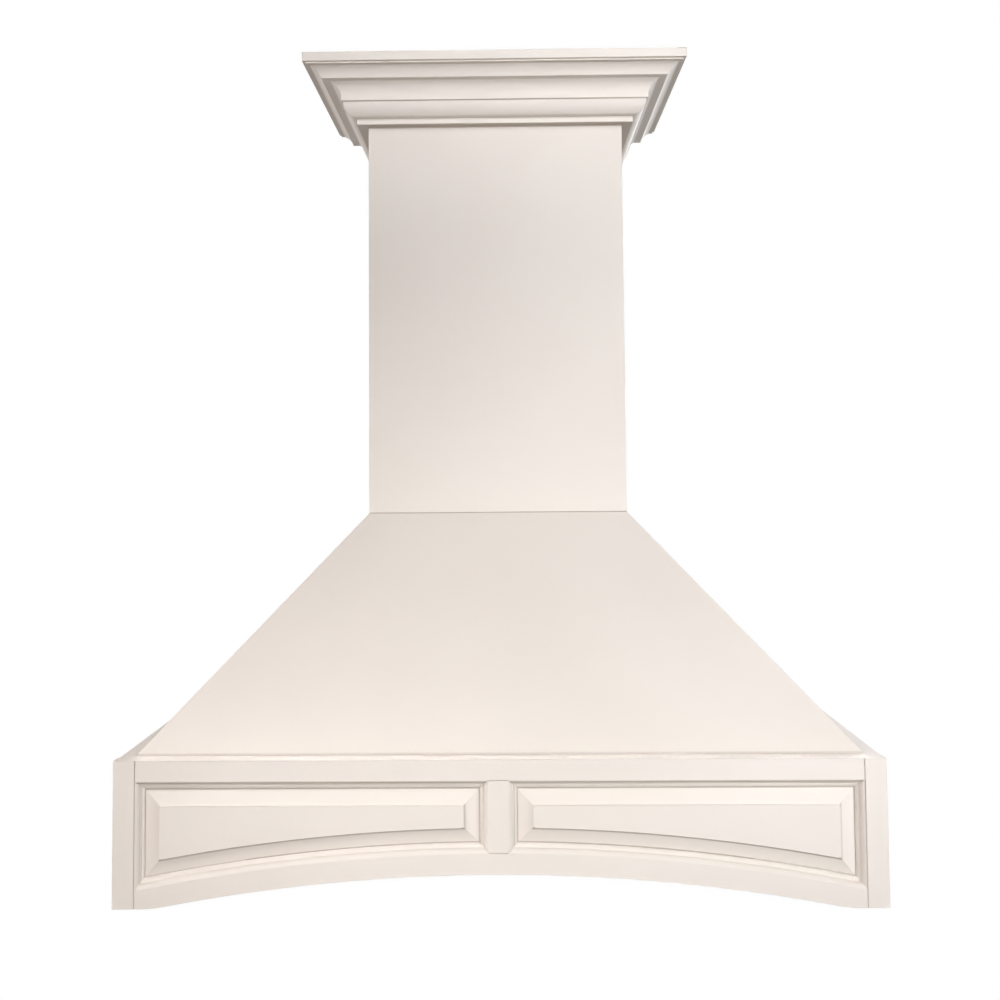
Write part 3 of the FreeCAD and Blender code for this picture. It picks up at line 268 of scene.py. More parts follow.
class HoodStage(bpy.types.PropertyGroup):
    """Camera, room light and floor."""
    eye: FloatVectorProperty(name="Eye", description="Place of the camera", subtype="TRANSLATION", size=3,
                             default=(0.0164, -2.2514, 0.5177))
    yaw: angle("Yaw", "Turn to the right", -0.980)
    pitch: angle("Pitch", "Tilt upwards", 3.661)
    roll: angle("Roll", "Lean of the camera", 0.422)
    lens: FloatProperty(name="Lens", description="Focal length of the camera", unit="CAMERA", min=1,
                        default=49.58)
    shift: FloatVectorProperty(name="Shift", description="Sideways and vertical shift of the frame", size=2,
                               default=(0.0149, -0.1216))
    room_tint: colour("Room", "Colour of the light from all around", (1.0, 0.90, 0.82))
    room_light: amount("Room light", "Strength of the light from all around", 0.17)
    floor: length("Floor", "Height of the floor below the wall-hung hood", -1.65)
    floor_pale: colour("Floor", "Colour of the floor", (0.88, 0.875, 0.87))
    floor_speck: colour("Floor speck", "Deeper tone in the floor's faint mottling", (0.86, 0.855, 0.85))
    floor_bounce: colour("Floor bounce", "Colour of the floor in the light it throws back", (0.3, 0.3, 0.3))
    shadow_veil: amount("Shadow veil", "Share of white over the shadow under the hood", 0.6)
    shadow_near: length("Shadow near", "Distance from the hood's middle where the shadow starts to fade", 0.5)
    shadow_far: length("Shadow far", "Distance from the hood's middle where the floor is white", 1.6)


class Wire:
    """An output socket that takes part in sums; each operator adds one Math node."""

    def __init__(self, nodes, socket):
        self.nodes = nodes
        self.socket = socket

    def maths(self, operation, first, second=0.0):
        """The output of a new Math node."""
        return self.nodes.node("Math", {"operation": operation}, {0: first, 1: second})

    def __add__(self, other):
        return self.maths("ADD", self, other)

    def __sub__(self, other):
        return self.maths("SUBTRACT", self, other)

    def __rsub__(self, other):
        return self.maths("SUBTRACT", other, self)

    def __mul__(self, other):
        return self.maths("MULTIPLY", self, other)

    def __pow__(self, other):
        return self.maths("POWER", self, other)

    def __gt__(self, other):
        return self.maths("GREATER_THAN", self, other)

    def __lt__(self, other):
        return self.maths("LESS_THAN", self, other)

    def __or__(self, other):
        return self.maths("MAXIMUM", self, other)

    def __abs__(self):
        return self.maths("ABSOLUTE", self)

    __radd__ = __add__
    __rmul__ = __mul__


class Nodes:
    """The nodes of a material or of the world, added one by one."""

    def __init__(self, tree):
        self.tree = tree
        tree.nodes.clear()

    def node(self, kind, settings=None, sockets=None, output=0):
        """A node of a type: its settings first, then the values or links of its sockets."""
        made = self.tree.nodes.new("ShaderNode" + kind)
        for key, value in (settings or {}).items():
            setattr(made, key, value)
        for key, value in (sockets or {}).items():
            if isinstance(value, Wire):
                self.tree.links.new(value.socket, made.inputs[key])
            else:
                made.inputs[key].default_value = value
        if isinstance(output, tuple):
            return [Wire(self, made.outputs[name]) for name in output]
        return Wire(self, made.outputs[output])

    def place(self):
        """Object coordinates."""
        return self.node("TexCoord", output="Object")

    def facing(self):
        """The surface's own direction, in object space."""
        return self.node("TexCoord", output="Normal")

    def axes(self, vector):
        """The three parts of a vector."""
        return self.node("SeparateXYZ", None, {0: vector}, ("X", "Y", "Z"))

    def vector(self, x, y, z):
        """A vector from its three parts."""
        return self.node("CombineXYZ", None, {0: x, 1: y, 2: z})

    def stretched(self, vector, scale):
        """Coordinates with their own scale on each axis."""
        return self.node("Mapping", None, {"Vector": vector, "Scale": scale})

    def noise(self, vector, scale=1.0, detail=2.0, roughness=0.5):
        """A grey noise whose lumps are about one part in scale of a metre."""
        return self.node("TexNoise", None,
                         {"Vector": vector, "Scale": scale, "Detail": detail, "Roughness": roughness})

    def blend(self, factor, first, second):
        """A colour between two colours."""
        def tone(value):
            return value if isinstance(value, Wire) else (*value, 1)
        return self.node("Mix", {"data_type": "RGBA"}, {0: factor, 6: tone(first), 7: tone(second)}, 2)

    def band(self, value, low, high):
        """A value from 0 at low to 1 at high."""
        return self.node("MapRange", None, {"Value": value, "From Min": low, "From Max": high})

    def bump(self, height, distance, strength, normal=None):
        """Fine relief, over another normal where one is given."""
        sockets = {"Height": height, "Distance": distance, "Strength": strength}
        if normal is not None:
            sockets["Normal"] = normal
        return self.node("Bump", None, sockets)

    def direct_rays(self):
        """1 for rays that look straight or by mirror or glass at the backdrop."""
        rays = ("Is Camera Ray", "Is Glossy Ray", "Is Transmission Ray")
        camera, glossy, through = self.node("LightPath", output=rays)
        return camera | glossy | through


class Finish(Nodes):
    """One material."""

    def __init__(self, name):
        self.material = bpy.data.materials.new(name)
        self.material.use_nodes = True
        super().__init__(self.material.node_tree)

    def surface(self, sockets):
        """The finished surface."""
        return self.close(self.node("BsdfPrincipled", None, sockets))

    def close(self, shader):
        """The material, with a shader at its output."""
        self.node("OutputMaterial", None, {"Surface": shader}, ())
        return self.material


def shade(tone, factor):
    """A colour made darker or lighter."""
    return [factor * part for part in tone]


def wood_figure(finish, along, across, depth, timber):
    """Late wood and fibre of planed softwood whose grain runs one way, each from 0 to 1."""
    def scaled(marks):
        return finish.vector(along * marks[0], across * marks[1], depth * marks[2])
    wander = finish.noise(scaled(GRAIN_WANDER), detail=3.0)
    fibre = finish.noise(scaled(GRAIN_FIBRE))
    reach = (across * RING_LEAN + depth + wander * RING_WANDER) * (math.tau / timber.ring)
    rings = finish.node("Math", {"operation": "SINE"}, {0: reach})
    late = (rings * 0.5 + 0.5) ** RING_SHARPNESS
    return late, fibre


def wood_tone(finish, late, fibre, timber):
    """Colour of planed softwood."""
    return finish.blend(late * 0.55 + fibre * 0.25, timber.pale, timber.dark)


def line_mask(finish, distance, half_width):
    """1 on a fine line, fading to 0 at its half width, by the distance from its middle."""
    return finish.band(abs(distance), half_width, LINE_CORE * half_width)


def quirk_shade_masks(finish, quirks, depth, turn_x, turn_z):
    """Masks of the apron's painted shade lines, where shadow falls in its quirks, each on the faces that look
    its way.
    """
    if not quirks:
        return []
    down = turn_z < -LINE_TURN
    right = (turn_x > LINE_TURN) * (turn_z < LINE_UPTURN) * SIDE_STRENGTH
    faces = {
        "down": down,
        "right": right,
        "down or right": down | right,
        "all": 1 - (abs(turn_x) > LINE_TURN) * SIDE_STRENGTH,
    }
    return [line_mask(finish, depth - place, half_width) * faces[way] for place, half_width, way in quirks]


def height_shade_masks(finish, lines, z):
    """Masks of the level painted shade lines of the crown, the chimney and the canopy, where shadow falls
    under mouldings and at joints.
    """
    return [line_mask(finish, z - height, half_width) * strength for height, half_width, strength in lines]


def paint_finish(name, paint, timber, quirks=(), lines=()):
    """Satin paint outside, bare wood on the faces that look into the shell or at the wall; quirks and lines
    list the fine lines of painted shade, dark where shadow falls."""
    finish = Finish(name)
    place = finish.place()
    x, y, z = finish.axes(place)
    turn_x, turn_y, turn_z = finish.axes(finish.facing())
    backward = turn_y > BACKWARD
    inside = ((turn_x * x < -INWARD) | backward) * (y > BARE_BEHIND) * (z > BARE_ABOVE)
    bare = inside | backward * (y > -WALL_REACH)
    cloud = finish.band(finish.noise(place, scale=5.0, detail=3.0), low=0.35, high=0.65)
    peel = finish.noise(place, scale=1 / paint.peel)
    drag = finish.noise(finish.stretched(place, BRUSH_DRAG))
    tone = finish.blend(cloud, paint.coat, paint.coat_thin)
    # Painted shade: darken the paint on each fine line where shadow falls
    for mask in quirk_shade_masks(finish, quirks, y - HOOD_FRONT, turn_x, turn_z) + height_shade_masks(finish, lines, z):
        tone = finish.blend(mask, tone, paint.line)
    late, fibre = wood_figure(finish, z, x, y, timber)
    relief = peel * PEEL_SHARE + drag * (1 - PEEL_SHARE)
    soft_edges = finish.node("Bevel", {"samples": 6}, {"Radius": paint.arris})
    rough = paint.roughness + (peel - 0.5) * 0.10 + (cloud - 0.5) * 0.04
    return finish.surface({
        "Base Color": finish.blend(bare, tone, wood_tone(finish, late, fibre, timber)),
        "Roughness": rough * (1 - bare) + bare * timber.roughness,
        "Normal": finish.bump(relief, distance=0.00012, strength=0.35, normal=soft_edges),
        "Specular IOR Level": paint.gloss,
    })


def timber_finish(name, grain, timber):
    """Planed bare wood; grain picks the axis order from along the grain to across it."""
    finish = Finish(name)
    axes = dict(zip("XYZ", finish.axes(finish.place())))
    late, fibre = wood_figure(finish, *(axes[letter] for letter in grain), timber)
    height = late * 0.5 + fibre
    return finish.surface({
        "Base Color": wood_tone(finish, late, fibre, timber),
        "Roughness": timber.roughness + (height - 0.6) * 0.12,
        "Normal": finish.bump(height, distance=0.00025, strength=0.5),
    })


def brushed_finish(name, steel, marks):
    """Brushed steel: fine lines along the axis with the fewest marks."""
    finish = Finish(name)
    place = finish.place()
    lines = finish.noise(finish.stretched(place, marks), detail=4.0, roughness=0.7)
    smear = finish.noise(place, scale=9.0)
    return finish.surface({
        "Base Color": finish.blend(lines, shade(steel, 0.86), shade(steel, 1.1)),
        "Metallic": 1.0,
        "Roughness": 0.22 + lines * 0.14 + smear * 0.08,
        "Normal": finish.bump(lines, distance=0.00006, strength=0.35),
    })


def polished_finish(steel):
    """Polished steel with faint smears."""
    finish = Finish("polished_steel")
    smear = finish.noise(finish.place(), scale=45.0, detail=3.0)
    return finish.surface({
        "Base Color": finish.blend(smear, shade(steel, 1.15), shade(steel, 1.3)),
        "Metallic": 1.0,
        "Roughness": 0.08 + smear * 0.12,
    })


def galvanised_finish(metal):
    """Hot-dip zinc with its spangle."""
    finish = Finish("galvanised_steel")
    place = finish.place()
    scale = 1 / metal.spangle
    wobble = finish.noise(place, scale=2 * scale)
    cells = finish.node("TexVoronoi", None, {"Vector": place, "Scale": scale}, "Color")
    crystal = finish.node("RGBToBW", None, {0: cells})
    grey = crystal * 0.75 + wobble * 0.25
    return finish.surface({
        "Base Color": finish.blend(grey, metal.zinc_dark, metal.zinc_light),
        "Metallic": 0.92,
        "Roughness": 0.32 + grey * 0.2,
        "Normal": finish.bump(grey, distance=0.00005, strength=0.4),
    })


def aluminium_finish(metal):
    """Mill-finish sheet with rolling lines."""
    finish = Finish("damper_aluminium")
    lines = finish.noise(finish.stretched(finish.place(), ROLLED_ACROSS), detail=3.0)
    return finish.surface({
        "Base Color": finish.blend(lines, shade(metal.aluminium, 0.9), metal.aluminium),
        "Metallic": 1.0,
        "Roughness": 0.3 + lines * 0.16,
    })


def enamel_finish(electrics):
    """Black baked enamel with a fine orange peel."""
    finish = Finish("motor_enamel")
    peel = finish.noise(finish.place(), scale=420.0)
    return finish.surface({
        "Base Color": finish.blend(peel, electrics.enamel, shade(electrics.enamel, 1.6)),
        "Roughness": 0.3 + peel * 0.12,
        "Normal": finish.bump(peel, distance=0.0001, strength=0.4),
    })


def lens_finish(electrics):
    """Frosted glass: light passes and blurs."""
    finish = Finish("frosted_lens")
    frost = finish.noise(finish.place(), scale=900.0)
    return finish.surface({
        "Base Color": finish.blend(frost, shade(electrics.lens, 0.97), electrics.lens),
        "Roughness": 0.42 + frost * 0.12,
        "Transmission Weight": 0.75,
        "IOR": 1.46,
        "Normal": finish.bump(frost, distance=0.00005, strength=0.4),
    })


def board_finish(electrics):
    """White solder mask on the lamp's board."""
    finish = Finish("lamp_board_white")
    grain = finish.noise(finish.place(), scale=700.0)
    return finish.surface({
        "Base Color": finish.blend(grain, shade(electrics.board, 0.94), electrics.board),
        "Roughness": 0.35 + grain * 0.15,
    })


def chip_finish(electrics):
    """Pale yellow phosphor of the light chips."""
    finish = Finish("lamp_chip_phosphor")
    grain = finish.noise(finish.place(), scale=2500.0)
    return finish.surface({
        "Base Color": finish.blend(grain, shade(electrics.phosphor, 0.9), electrics.phosphor),
        "Roughness": 0.4 + grain * 0.2,
    })


def plastic_finish(electrics):
    """Matte moulded plastic."""
    finish = Finish("switch_plastic")
    grain = finish.noise(finish.place(), scale=1400.0)
    return finish.surface({
        "Base Color": finish.blend(grain, electrics.plastic, shade(electrics.plastic, 1.5)),
        "Roughness": 0.5 + grain * 0.2,
        "Normal": finish.bump(grain, distance=0.00008, strength=0.5),
    })


def floor_finish(stage):
    """Pale floor that keeps the shadow near the hood and goes to white away from it."""
    finish = Finish("studio_floor")
    place = finish.place()
    x, y = finish.axes(place)[:2]
    back = y - HOOD_MIDDLE[1]
    far = finish.band((x * x + back * back) ** 0.5, stage.shadow_near, stage.shadow_far)
    mottling = finish.noise(place, scale=30.0)
    direct = finish.direct_rays()
    pale = finish.blend(mottling, stage.floor_speck, stage.floor_pale)
    matt = finish.node("BsdfDiffuse", None, {"Color": finish.blend(direct, stage.floor_bounce, pale)})
    white = finish.node("Emission", None, BACKDROP)
    veil = far * (1 - stage.shadow_veil) + stage.shadow_veil
    return finish.close(finish.node("MixShader", None, {0: veil * direct, 1: matt, 2: white}))


def nodes_in(slot):
    """Names of the CAD nodes that the record gives to a material slot."""
    return [part["node"] for part in frame["record"]["subparts"] if part["material_slot"] == slot]


def dress(names, material):
    """Give CAD nodes their finish."""
    if not names:
        raise ValueError("no CAD node is there for " + material.name)
    for name in names:
        slots = frame["nodes"][name].data.materials
        slots.clear()
        slots.append(material)


def finish_of(node):
    """The finish that a CAD node already wears."""
    return frame["nodes"][node].data.materials[0]


def start_piece():
    """Nothing selected, so that the next primitive is shaped alone."""
    bpy.ops.object.select_all(action="DESELECT")


def round_blank(sides, radius, depth, middle=0.0):
    """An upright round or many-sided blank, to be shaped."""
    start_piece()
    bpy.ops.mesh.primitive_cylinder_add(vertices=sides, radius=radius, depth=depth, location=(0, 0, middle))
    bpy.ops.object.transform_apply()
    return bpy.context.active_object


def block_blank(sides, middle):
    """A block, to be shaped."""
    start_piece()
    bpy.ops.mesh.primitive_cube_add(size=1, location=(0, 0, middle), scale=sides)
    bpy.ops.object.transform_apply()
    return bpy.context.active_object


def looks_up(normal):
    """True for the normal of a level face on top."""
    return normal.z > LEVEL


def looks_down(normal):
    """True for the normal of a level face underneath."""
    return normal.z < -LEVEL


def edit_faces(piece, chosen):
    """Go into edit mode with only the faces selected whose normal passes the test."""
    bpy.ops.object.mode_set(mode="EDIT")
    bpy.ops.mesh.select_mode(type="FACE")
    bpy.ops.mesh.select_all(action="DESELECT")
    bpy.ops.object.mode_set(mode="OBJECT")
    for face in piece.data.polygons:
        face.select = chosen(face.normal)
    bpy.ops.object.mode_set(mode="EDIT")


def end_edit():
    """Go back to object mode."""
    bpy.ops.object.mode_set(mode="OBJECT")


def ease_edges(piece, chosen, offset, segments):
    """Round the edges of the chosen faces."""
    edit_faces(piece, chosen)
    bpy.ops.mesh.bevel(offset=offset, segments=segments, affect="EDGES")
    end_edit()


def carve(piece, cutter):
    """Cut one object out of another and remove the cutter."""
    cut = piece.modifiers.new("cut", "BOOLEAN")
    cut.operation = "DIFFERENCE"
    cut.object = cutter
    bpy.context.view_layer.objects.active = piece
    bpy.ops.object.modifier_apply(modifier=cut.name)
    bpy.data.objects.remove(cutter)


def copies(model, name, places):
    """One object from a model's copies at several places; the model goes."""
    made = []
    for place in places:
        copy = model.copy()
        copy.data = model.data.copy()
        copy.data.transform(place)
        bpy.context.scene.collection.objects.link(copy)
        made.append(copy)
    bpy.data.objects.remove(model)
    start_piece()
    for copy in made:
        copy.select_set(True)
    bpy.context.view_layer.objects.active = made[0]
    if len(made) > 1:
        bpy.ops.object.join()
    made[0].name = name
    return made[0]


def settle(piece, body, material):
    """Smooth, dress and hang a finished piece on its body."""
    start_piece()
    piece.select_set(True)
    bpy.context.view_layer.objects.active = piece
    bpy.ops.object.shade_smooth_by_angle(angle=SMOOTH_ANGLE)
    piece.data.materials.clear()
    piece.data.materials.append(material)
    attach(piece, body)


def facing_place(x, y, z, way):
    """Place and turn of a fastener modelled upright, so that it stands along the given way."""
    turn = Vector(UP).rotation_difference(Vector(way)).to_matrix().to_4x4()
    return Matrix.Translation((x, y, z)) @ turn


def screw_head(sizes):
    """Pan head with a rounded rim and a cross slot, standing on the origin."""
    high = sizes.screw_height
    head = round_blank(sides=28, radius=sizes.screw_radius, depth=high, middle=high / 2)
    ease_edges(head, looks_up, offset=0.6 * high, segments=4)
    slot = (SLOT_SHARE * sizes.screw_radius, sizes.slot_width, 2 * sizes.slot_depth)
    for turn in (0, math.pi / 2):
        start_piece()
        bpy.ops.mesh.primitive_cube_add(size=1, location=(0, 0, high), rotation=(0, 0, turn), scale=slot)
        carve(head, bpy.context.active_object)
    return head


def rivet_head(sizes):
    """Flat dome, standing on the origin."""
    start_piece()
    bpy.ops.mesh.primitive_uv_sphere_add(segments=18, ring_count=12, radius=sizes.rivet_radius)
    head = bpy.context.active_object
    flatter = (1, 1, sizes.rivet_height / sizes.rivet_radius)
    bpy.ops.object.mode_set(mode="EDIT")
    bpy.ops.mesh.select_all(action="SELECT")
    bpy.ops.mesh.bisect(plane_co=(0, 0, 0), plane_no=UP, clear_inner=True, use_fill=True)
    bpy.ops.mesh.select_all(action="SELECT")
    bpy.ops.transform.resize(value=flatter, center_override=(0, 0, 0))
    end_edit()
    return head


def pull_foot(sizes, width):
    """Folded foot of a filter's pull: a small plate with rounded edges, standing on the origin."""
    sheet = sizes.foot_sheet
    foot = block_blank((sizes.foot_length, width, sheet), middle=sheet / 2)
    ease_edges(foot, looks_up, offset=0.4 * sheet, segments=3)
    return foot


def gland_nut(sizes):
    """Six-sided nut with a chamfered face and a round bore, standing on the origin."""
    high = sizes.nut_height
    nut = round_blank(sides=6, radius=sizes.nut_radius, depth=high, middle=high / 2)
    ease_edges(nut, looks_up, offset=0.15 * high, segments=2)
    carve(nut, round_blank(sides=40, radius=sizes.gland_radius, depth=3 * high))
    return nut


def lamp_bowl(sizes, radius, drop):
    """Reflector that widens from the board down to the lens, hanging from the origin."""
    start_piece()
    neck = sizes.board_radius
    rim = radius - sizes.sheet
    bpy.ops.mesh.primitive_circle_add(vertices=48, radius=neck)
    bowl = bpy.context.active_object
    bpy.ops.object.mode_set(mode="EDIT")
    bpy.ops.mesh.select_mode(type="EDGE")
    bpy.ops.mesh.select_all(action="SELECT")
    step = (0, 0, -BOWL_REACH * drop / BOWL_RINGS)
    last = neck
    for ring in range(1, BOWL_RINGS + 1):
        bpy.ops.mesh.extrude_region_move(TRANSFORM_OT_translate={"value": step})
        wide = math.sqrt(neck ** 2 + (rim ** 2 - neck ** 2) * ring / BOWL_RINGS)
        bpy.ops.transform.resize(value=(wide / last, wide / last, 1), center_override=(0, 0, 0))
        last = wide
    bpy.ops.mesh.select_all(action="SELECT")
    bpy.ops.mesh.normals_make_consistent(inside=True)
    end_edit()
    wall = bowl.modifiers.new("wall", "SOLIDIFY")
    wall.thickness = sizes.bowl_wall
    bpy.ops.object.modifier_apply(modifier=wall.name)
    return bowl


def lamp_board(sizes):
    """Round circuit board with an eased lower edge, hanging from the origin."""
    sheet = sizes.board_sheet
    radius = sizes.board_radius - sizes.bowl_wall
    board = round_blank(sides=40, radius=radius, depth=sheet, middle=-sheet / 2)
    ease_edges(board, looks_down, offset=0.2 * sheet, segments=2)
    return board


def lamp_chip(sizes):
    """One light chip, a third as high as wide: a frame round a window sunk by a third, hanging from the
    origin."""
    high = sizes.chip / 3
    chip = block_blank((sizes.chip, sizes.chip, high), middle=-high / 2)
    edit_faces(chip, looks_down)
    bpy.ops.mesh.inset(thickness=0.15 * sizes.chip)
    bpy.ops.mesh.extrude_region_move(TRANSFORM_OT_translate={"value": (0, 0, high / 3)})
    end_edit()
    return chip


def junction_case(sizes):
    """Corners of the junction box without its cable gland."""
    low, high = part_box("junction_box")
    return low, Vector((high[0], high[1] - sizes.gland_length, high[2]))


def pull_places(sizes, body, drop):
    """Places under a filter's rim at the feet of its pull, some way below the rim."""
    low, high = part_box(body + "_handle")
    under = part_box(body + "_frame")[0][2] - drop
    middle = (low[1] + high[1]) / 2
    reach = sizes.foot_length / 2
    return [facing_place(x, middle, under, DOWN) for x in (low[0] - reach, high[0] + reach)]


def lamp_cans(sizes):
    """Places under the roofs of the two lamp cans, the radius of their lenses and the drop to them."""
    low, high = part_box("lamp_bezels")
    lens_low, lens_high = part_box("lamp_lenses")
    radius = (lens_high[1] - lens_low[1]) / 2
    middle = (low[1] + high[1]) / 2
    roof = high[2] - sizes.sheet
    xs = (lens_low[0] + radius, lens_high[0] - radius)
    return [Matrix.Translation((x, middle, roof)) for x in xs], radius, roof - lens_high[2]


class HOOD_OT_paint(bpy.types.Operator):
    """Paint the woodwork that shows, and leave its inner faces bare"""
    bl_idname = "hood.paint"
    bl_label = "Paint the woodwork"

    def execute(self, context):
        scene = context.scene
        painted = nodes_in("painted_wood")
        panels = [name for name in painted if name.endswith("panel")]
        framing = [name for name in painted if name.endswith(("stile", "rail"))]
        crown = [name for name in painted if name.startswith("crown")]
        chimney = [name for name in painted if name.startswith("chimney")]
        canopy = [name for name in painted if name.startswith("canopy")]
        lined = panels + framing + crown + chimney + canopy
        plain = [name for name in painted if name not in lined]
        look = (scene.hood_paint, scene.hood_timber)
        dress(plain, paint_finish("satin_paint", *look))
        # Framing, panels, crown, chimney and canopy get fine lines of painted shade where shadow falls
        dress(framing, paint_finish("satin_paint_framing", *look, quirks=FRAMING_SHADE_LINES))
        dress(panels, paint_finish("satin_paint_panels", *look, quirks=PANEL_SHADE_LINES))
        dress(crown, paint_finish("satin_paint_crown", *look, lines=CROWN_SHADE_LINES))
        dress(chimney, paint_finish("satin_paint_chimney", *look, lines=CHIMNEY_SHADE_LINES))
        dress(canopy, paint_finish("satin_paint_canopy", *look, lines=CANOPY_SHADE_LINES))
        return {"FINISHED"}


class HOOD_OT_timber(bpy.types.Operator):
    """Give the hidden carpentry its bare wood"""
    bl_idname = "hood.timber"
    bl_label = "Bare wood"

    def execute(self, context):
        timber = context.scene.hood_timber
        upright = ["chimney_corner_posts"]
        dress(upright, timber_finish("bare_wood_upright", "ZXY", timber))
        level = [name for name in nodes_in("bare_wood") if name not in upright]
        dress(level, timber_finish("bare_wood_level", "XZY", timber))
        return {"FINISHED"}


class HOOD_OT_metal(bpy.types.Operator):
    """Finish the steel insert, the filters, the blower and the collar"""
    bl_idname = "hood.metal"
    bl_label = "Metal finishes"

    def execute(self, context):
        metal = context.scene.hood_metal
        brushed = nodes_in("brushed_steel")
        filters = [name for name in brushed if name.startswith("filter")]
        insert = [name for name in brushed if name not in filters]
        dress(insert, brushed_finish("brushed_steel", metal.steel, BRUSHED_ACROSS))
        dress(filters, brushed_finish("brushed_filter_steel", metal.steel, BRUSHED_BACK))
        dress(nodes_in("polished_steel"), polished_finish(metal.steel))
        dress(nodes_in("galvanised_steel"), galvanised_finish(metal))
        dress(nodes_in("damper_aluminium"), aluminium_finish(metal))
        return {"FINISHED"}


class HOOD_OT_electrics(bpy.types.Operator):
    """Finish the motor, the switches and the lamp lenses"""
    bl_idname = "hood.electrics"
    bl_label = "Motor, switches and lenses"

    def execute(self, context):
        electrics = context.scene.hood_electrics
        dress(nodes_in("motor_enamel"), enamel_finish(electrics))
        dress(nodes_in("switch_plastic"), plastic_finish(electrics))
        dress(nodes_in("lamp_glass"), lens_finish(electrics))
        return {"FINISHED"}


class HOOD_OT_screws(bpy.types.Operator):
    """Add the screws of the pan, the duct collar and the junction box"""
    bl_idname = "hood.screws"
    bl_label = "Screws"

    def execute(self, context):
        sizes = context.scene.hood_fittings
        inset = sizes.edge_inset

        low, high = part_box("liner_pan")
        wide = high[0] - inset
        front = low[1] + inset
        rear = high[1] - inset
        spots = [(share * wide, y) for share in PAN_LONG_SHARES for y in (front, rear)]
        spots += [(x, front + share * (rear - front)) for x in (-wide, wide) for share in PAN_SHORT_SHARES]
        places = [facing_place(x, y, low[2], DOWN) for x, y in spots]
        pan_screws = copies(screw_head(sizes), "pan_screws", places)
        settle(pan_screws, "shell", finish_of("lamp_bezels"))

        zinc = finish_of("duct_collar")
        low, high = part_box("duct_collar")
        flange = low[2] + sizes.sheet
        places = [facing_place(x, y, flange, UP) for x in (low[0] + inset, high[0] - inset)
                  for y in (low[1] + inset, high[1] - inset)]
        settle(copies(screw_head(sizes), "collar_screws", places), "shell", zinc)

        low, high = junction_case(sizes)
        places = [facing_place(high[0], y, z, RIGHT) for y in (low[1] + inset, high[1] - inset)
                  for z in (low[2] + inset, high[2] - inset)]
        settle(copies(screw_head(sizes), "box_screws", places), "shell", zinc)
        return {"FINISHED"}


class HOOD_OT_gland_nut(bpy.types.Operator):
    """Add the nut of the junction box's cable gland"""
    bl_idname = "hood.gland_nut"
    bl_label = "Gland nut"

    def execute(self, context):
        sizes = context.scene.hood_fittings
        low, high = junction_case(sizes)
        place = facing_place((low[0] + high[0] - sizes.sheet) / 2, high[1], (low[2] + high[2]) / 2, BACK)
        nut = copies(gland_nut(sizes), "gland_nut", [place])
        settle(nut, "shell", finish_of("button_switches"))
        return {"FINISHED"}


class HOOD_OT_rivets(bpy.types.Operator):
    """Add the rivets of the filters' rims and pulls"""
    bl_idname = "hood.rivets"
    bl_label = "Filter rivets"

    def execute(self, context):
        sizes = context.scene.hood_fittings
        for side in SIDES:
            body = "filter_" + side
            low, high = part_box(body + "_baffles")
            rim_low, rim_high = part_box(body + "_frame")
            half_rim = (rim_high[0] - high[0]) / 2
            xs = (rim_low[0] + half_rim, rim_high[0] - half_rim)
            ys = (low[1] + half_rim, high[1] - half_rim)
            places = [facing_place(x, y, rim_low[2], DOWN) for x in xs for y in ys]
            places += pull_places(sizes, body, sizes.foot_sheet)
            rivets = copies(rivet_head(sizes), body + "_rivets", places)
            settle(rivets, body, finish_of(body + "_handle"))
        return {"FINISHED"}


class HOOD_OT_pull_feet(bpy.types.Operator):
    """Add the folded feet of the filters' pulls"""
    bl_idname = "hood.pull_feet"
    bl_label = "Feet of the pulls"

    def execute(self, context):
        sizes = context.scene.hood_fittings
        for side in SIDES:
            body = "filter_" + side
            low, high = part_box(body + "_handle")
            foot = pull_foot(sizes, high[1] - low[1])
            feet = copies(foot, body + "_pull_feet", pull_places(sizes, body, 0))
            settle(feet, body, finish_of(body + "_handle"))
        return {"FINISHED"}


class HOOD_OT_lamp_reflectors(bpy.types.Operator):
    """Add the reflector behind each lens"""
    bl_idname = "hood.lamp_reflectors"
    bl_label = "Lamp reflectors"

    def execute(self, context):
        sizes = context.scene.hood_fittings
        places, radius, drop = lamp_cans(sizes)
        bowls = copies(lamp_bowl(sizes, radius, drop), "lamp_reflectors", places)
        settle(bowls, "shell", finish_of("lamp_bezels"))
        return {"FINISHED"}


class HOOD_OT_lamp_boards(bpy.types.Operator):
    """Add the round circuit board at the top of each lamp"""
    bl_idname = "hood.lamp_boards"
    bl_label = "Lamp boards"

    def execute(self, context):
        sizes = context.scene.hood_fittings
        places = lamp_cans(sizes)[0]
        boards = copies(lamp_board(sizes), "lamp_boards", places)
        settle(boards, "shell", board_finish(context.scene.hood_electrics))
        return {"FINISHED"}


class HOOD_OT_lamp_chips(bpy.types.Operator):
    """Add the light chips under each lamp's board"""
    bl_idname = "hood.lamp_chips"
    bl_label = "Light chips"

    def execute(self, context):
        sizes = context.scene.hood_fittings
        places = lamp_cans(sizes)[0]
        rows = (-sizes.chip_pitch, 0, sizes.chip_pitch)
        spots = [Matrix.Translation((x, y, -sizes.board_sheet)) for x in rows for y in rows]
        chips = copies(lamp_chip(sizes), "lamp_chips", [place @ spot for place in places for spot in spots])
        settle(chips, "shell", chip_finish(context.scene.hood_electrics))
        return {"FINISHED"}


def add_floor(stage):
    """The studio floor, far below the hood."""
    start_piece()
    bpy.ops.mesh.primitive_plane_add(size=FLOOR_SIDE, location=(0, 0, stage.floor))
    floor = bpy.context.active_object
    floor.name = "studio_floor"
    bpy.ops.object.transform_apply(location=True, rotation=True, scale=True)
    floor.data.materials.append(floor_finish(stage))


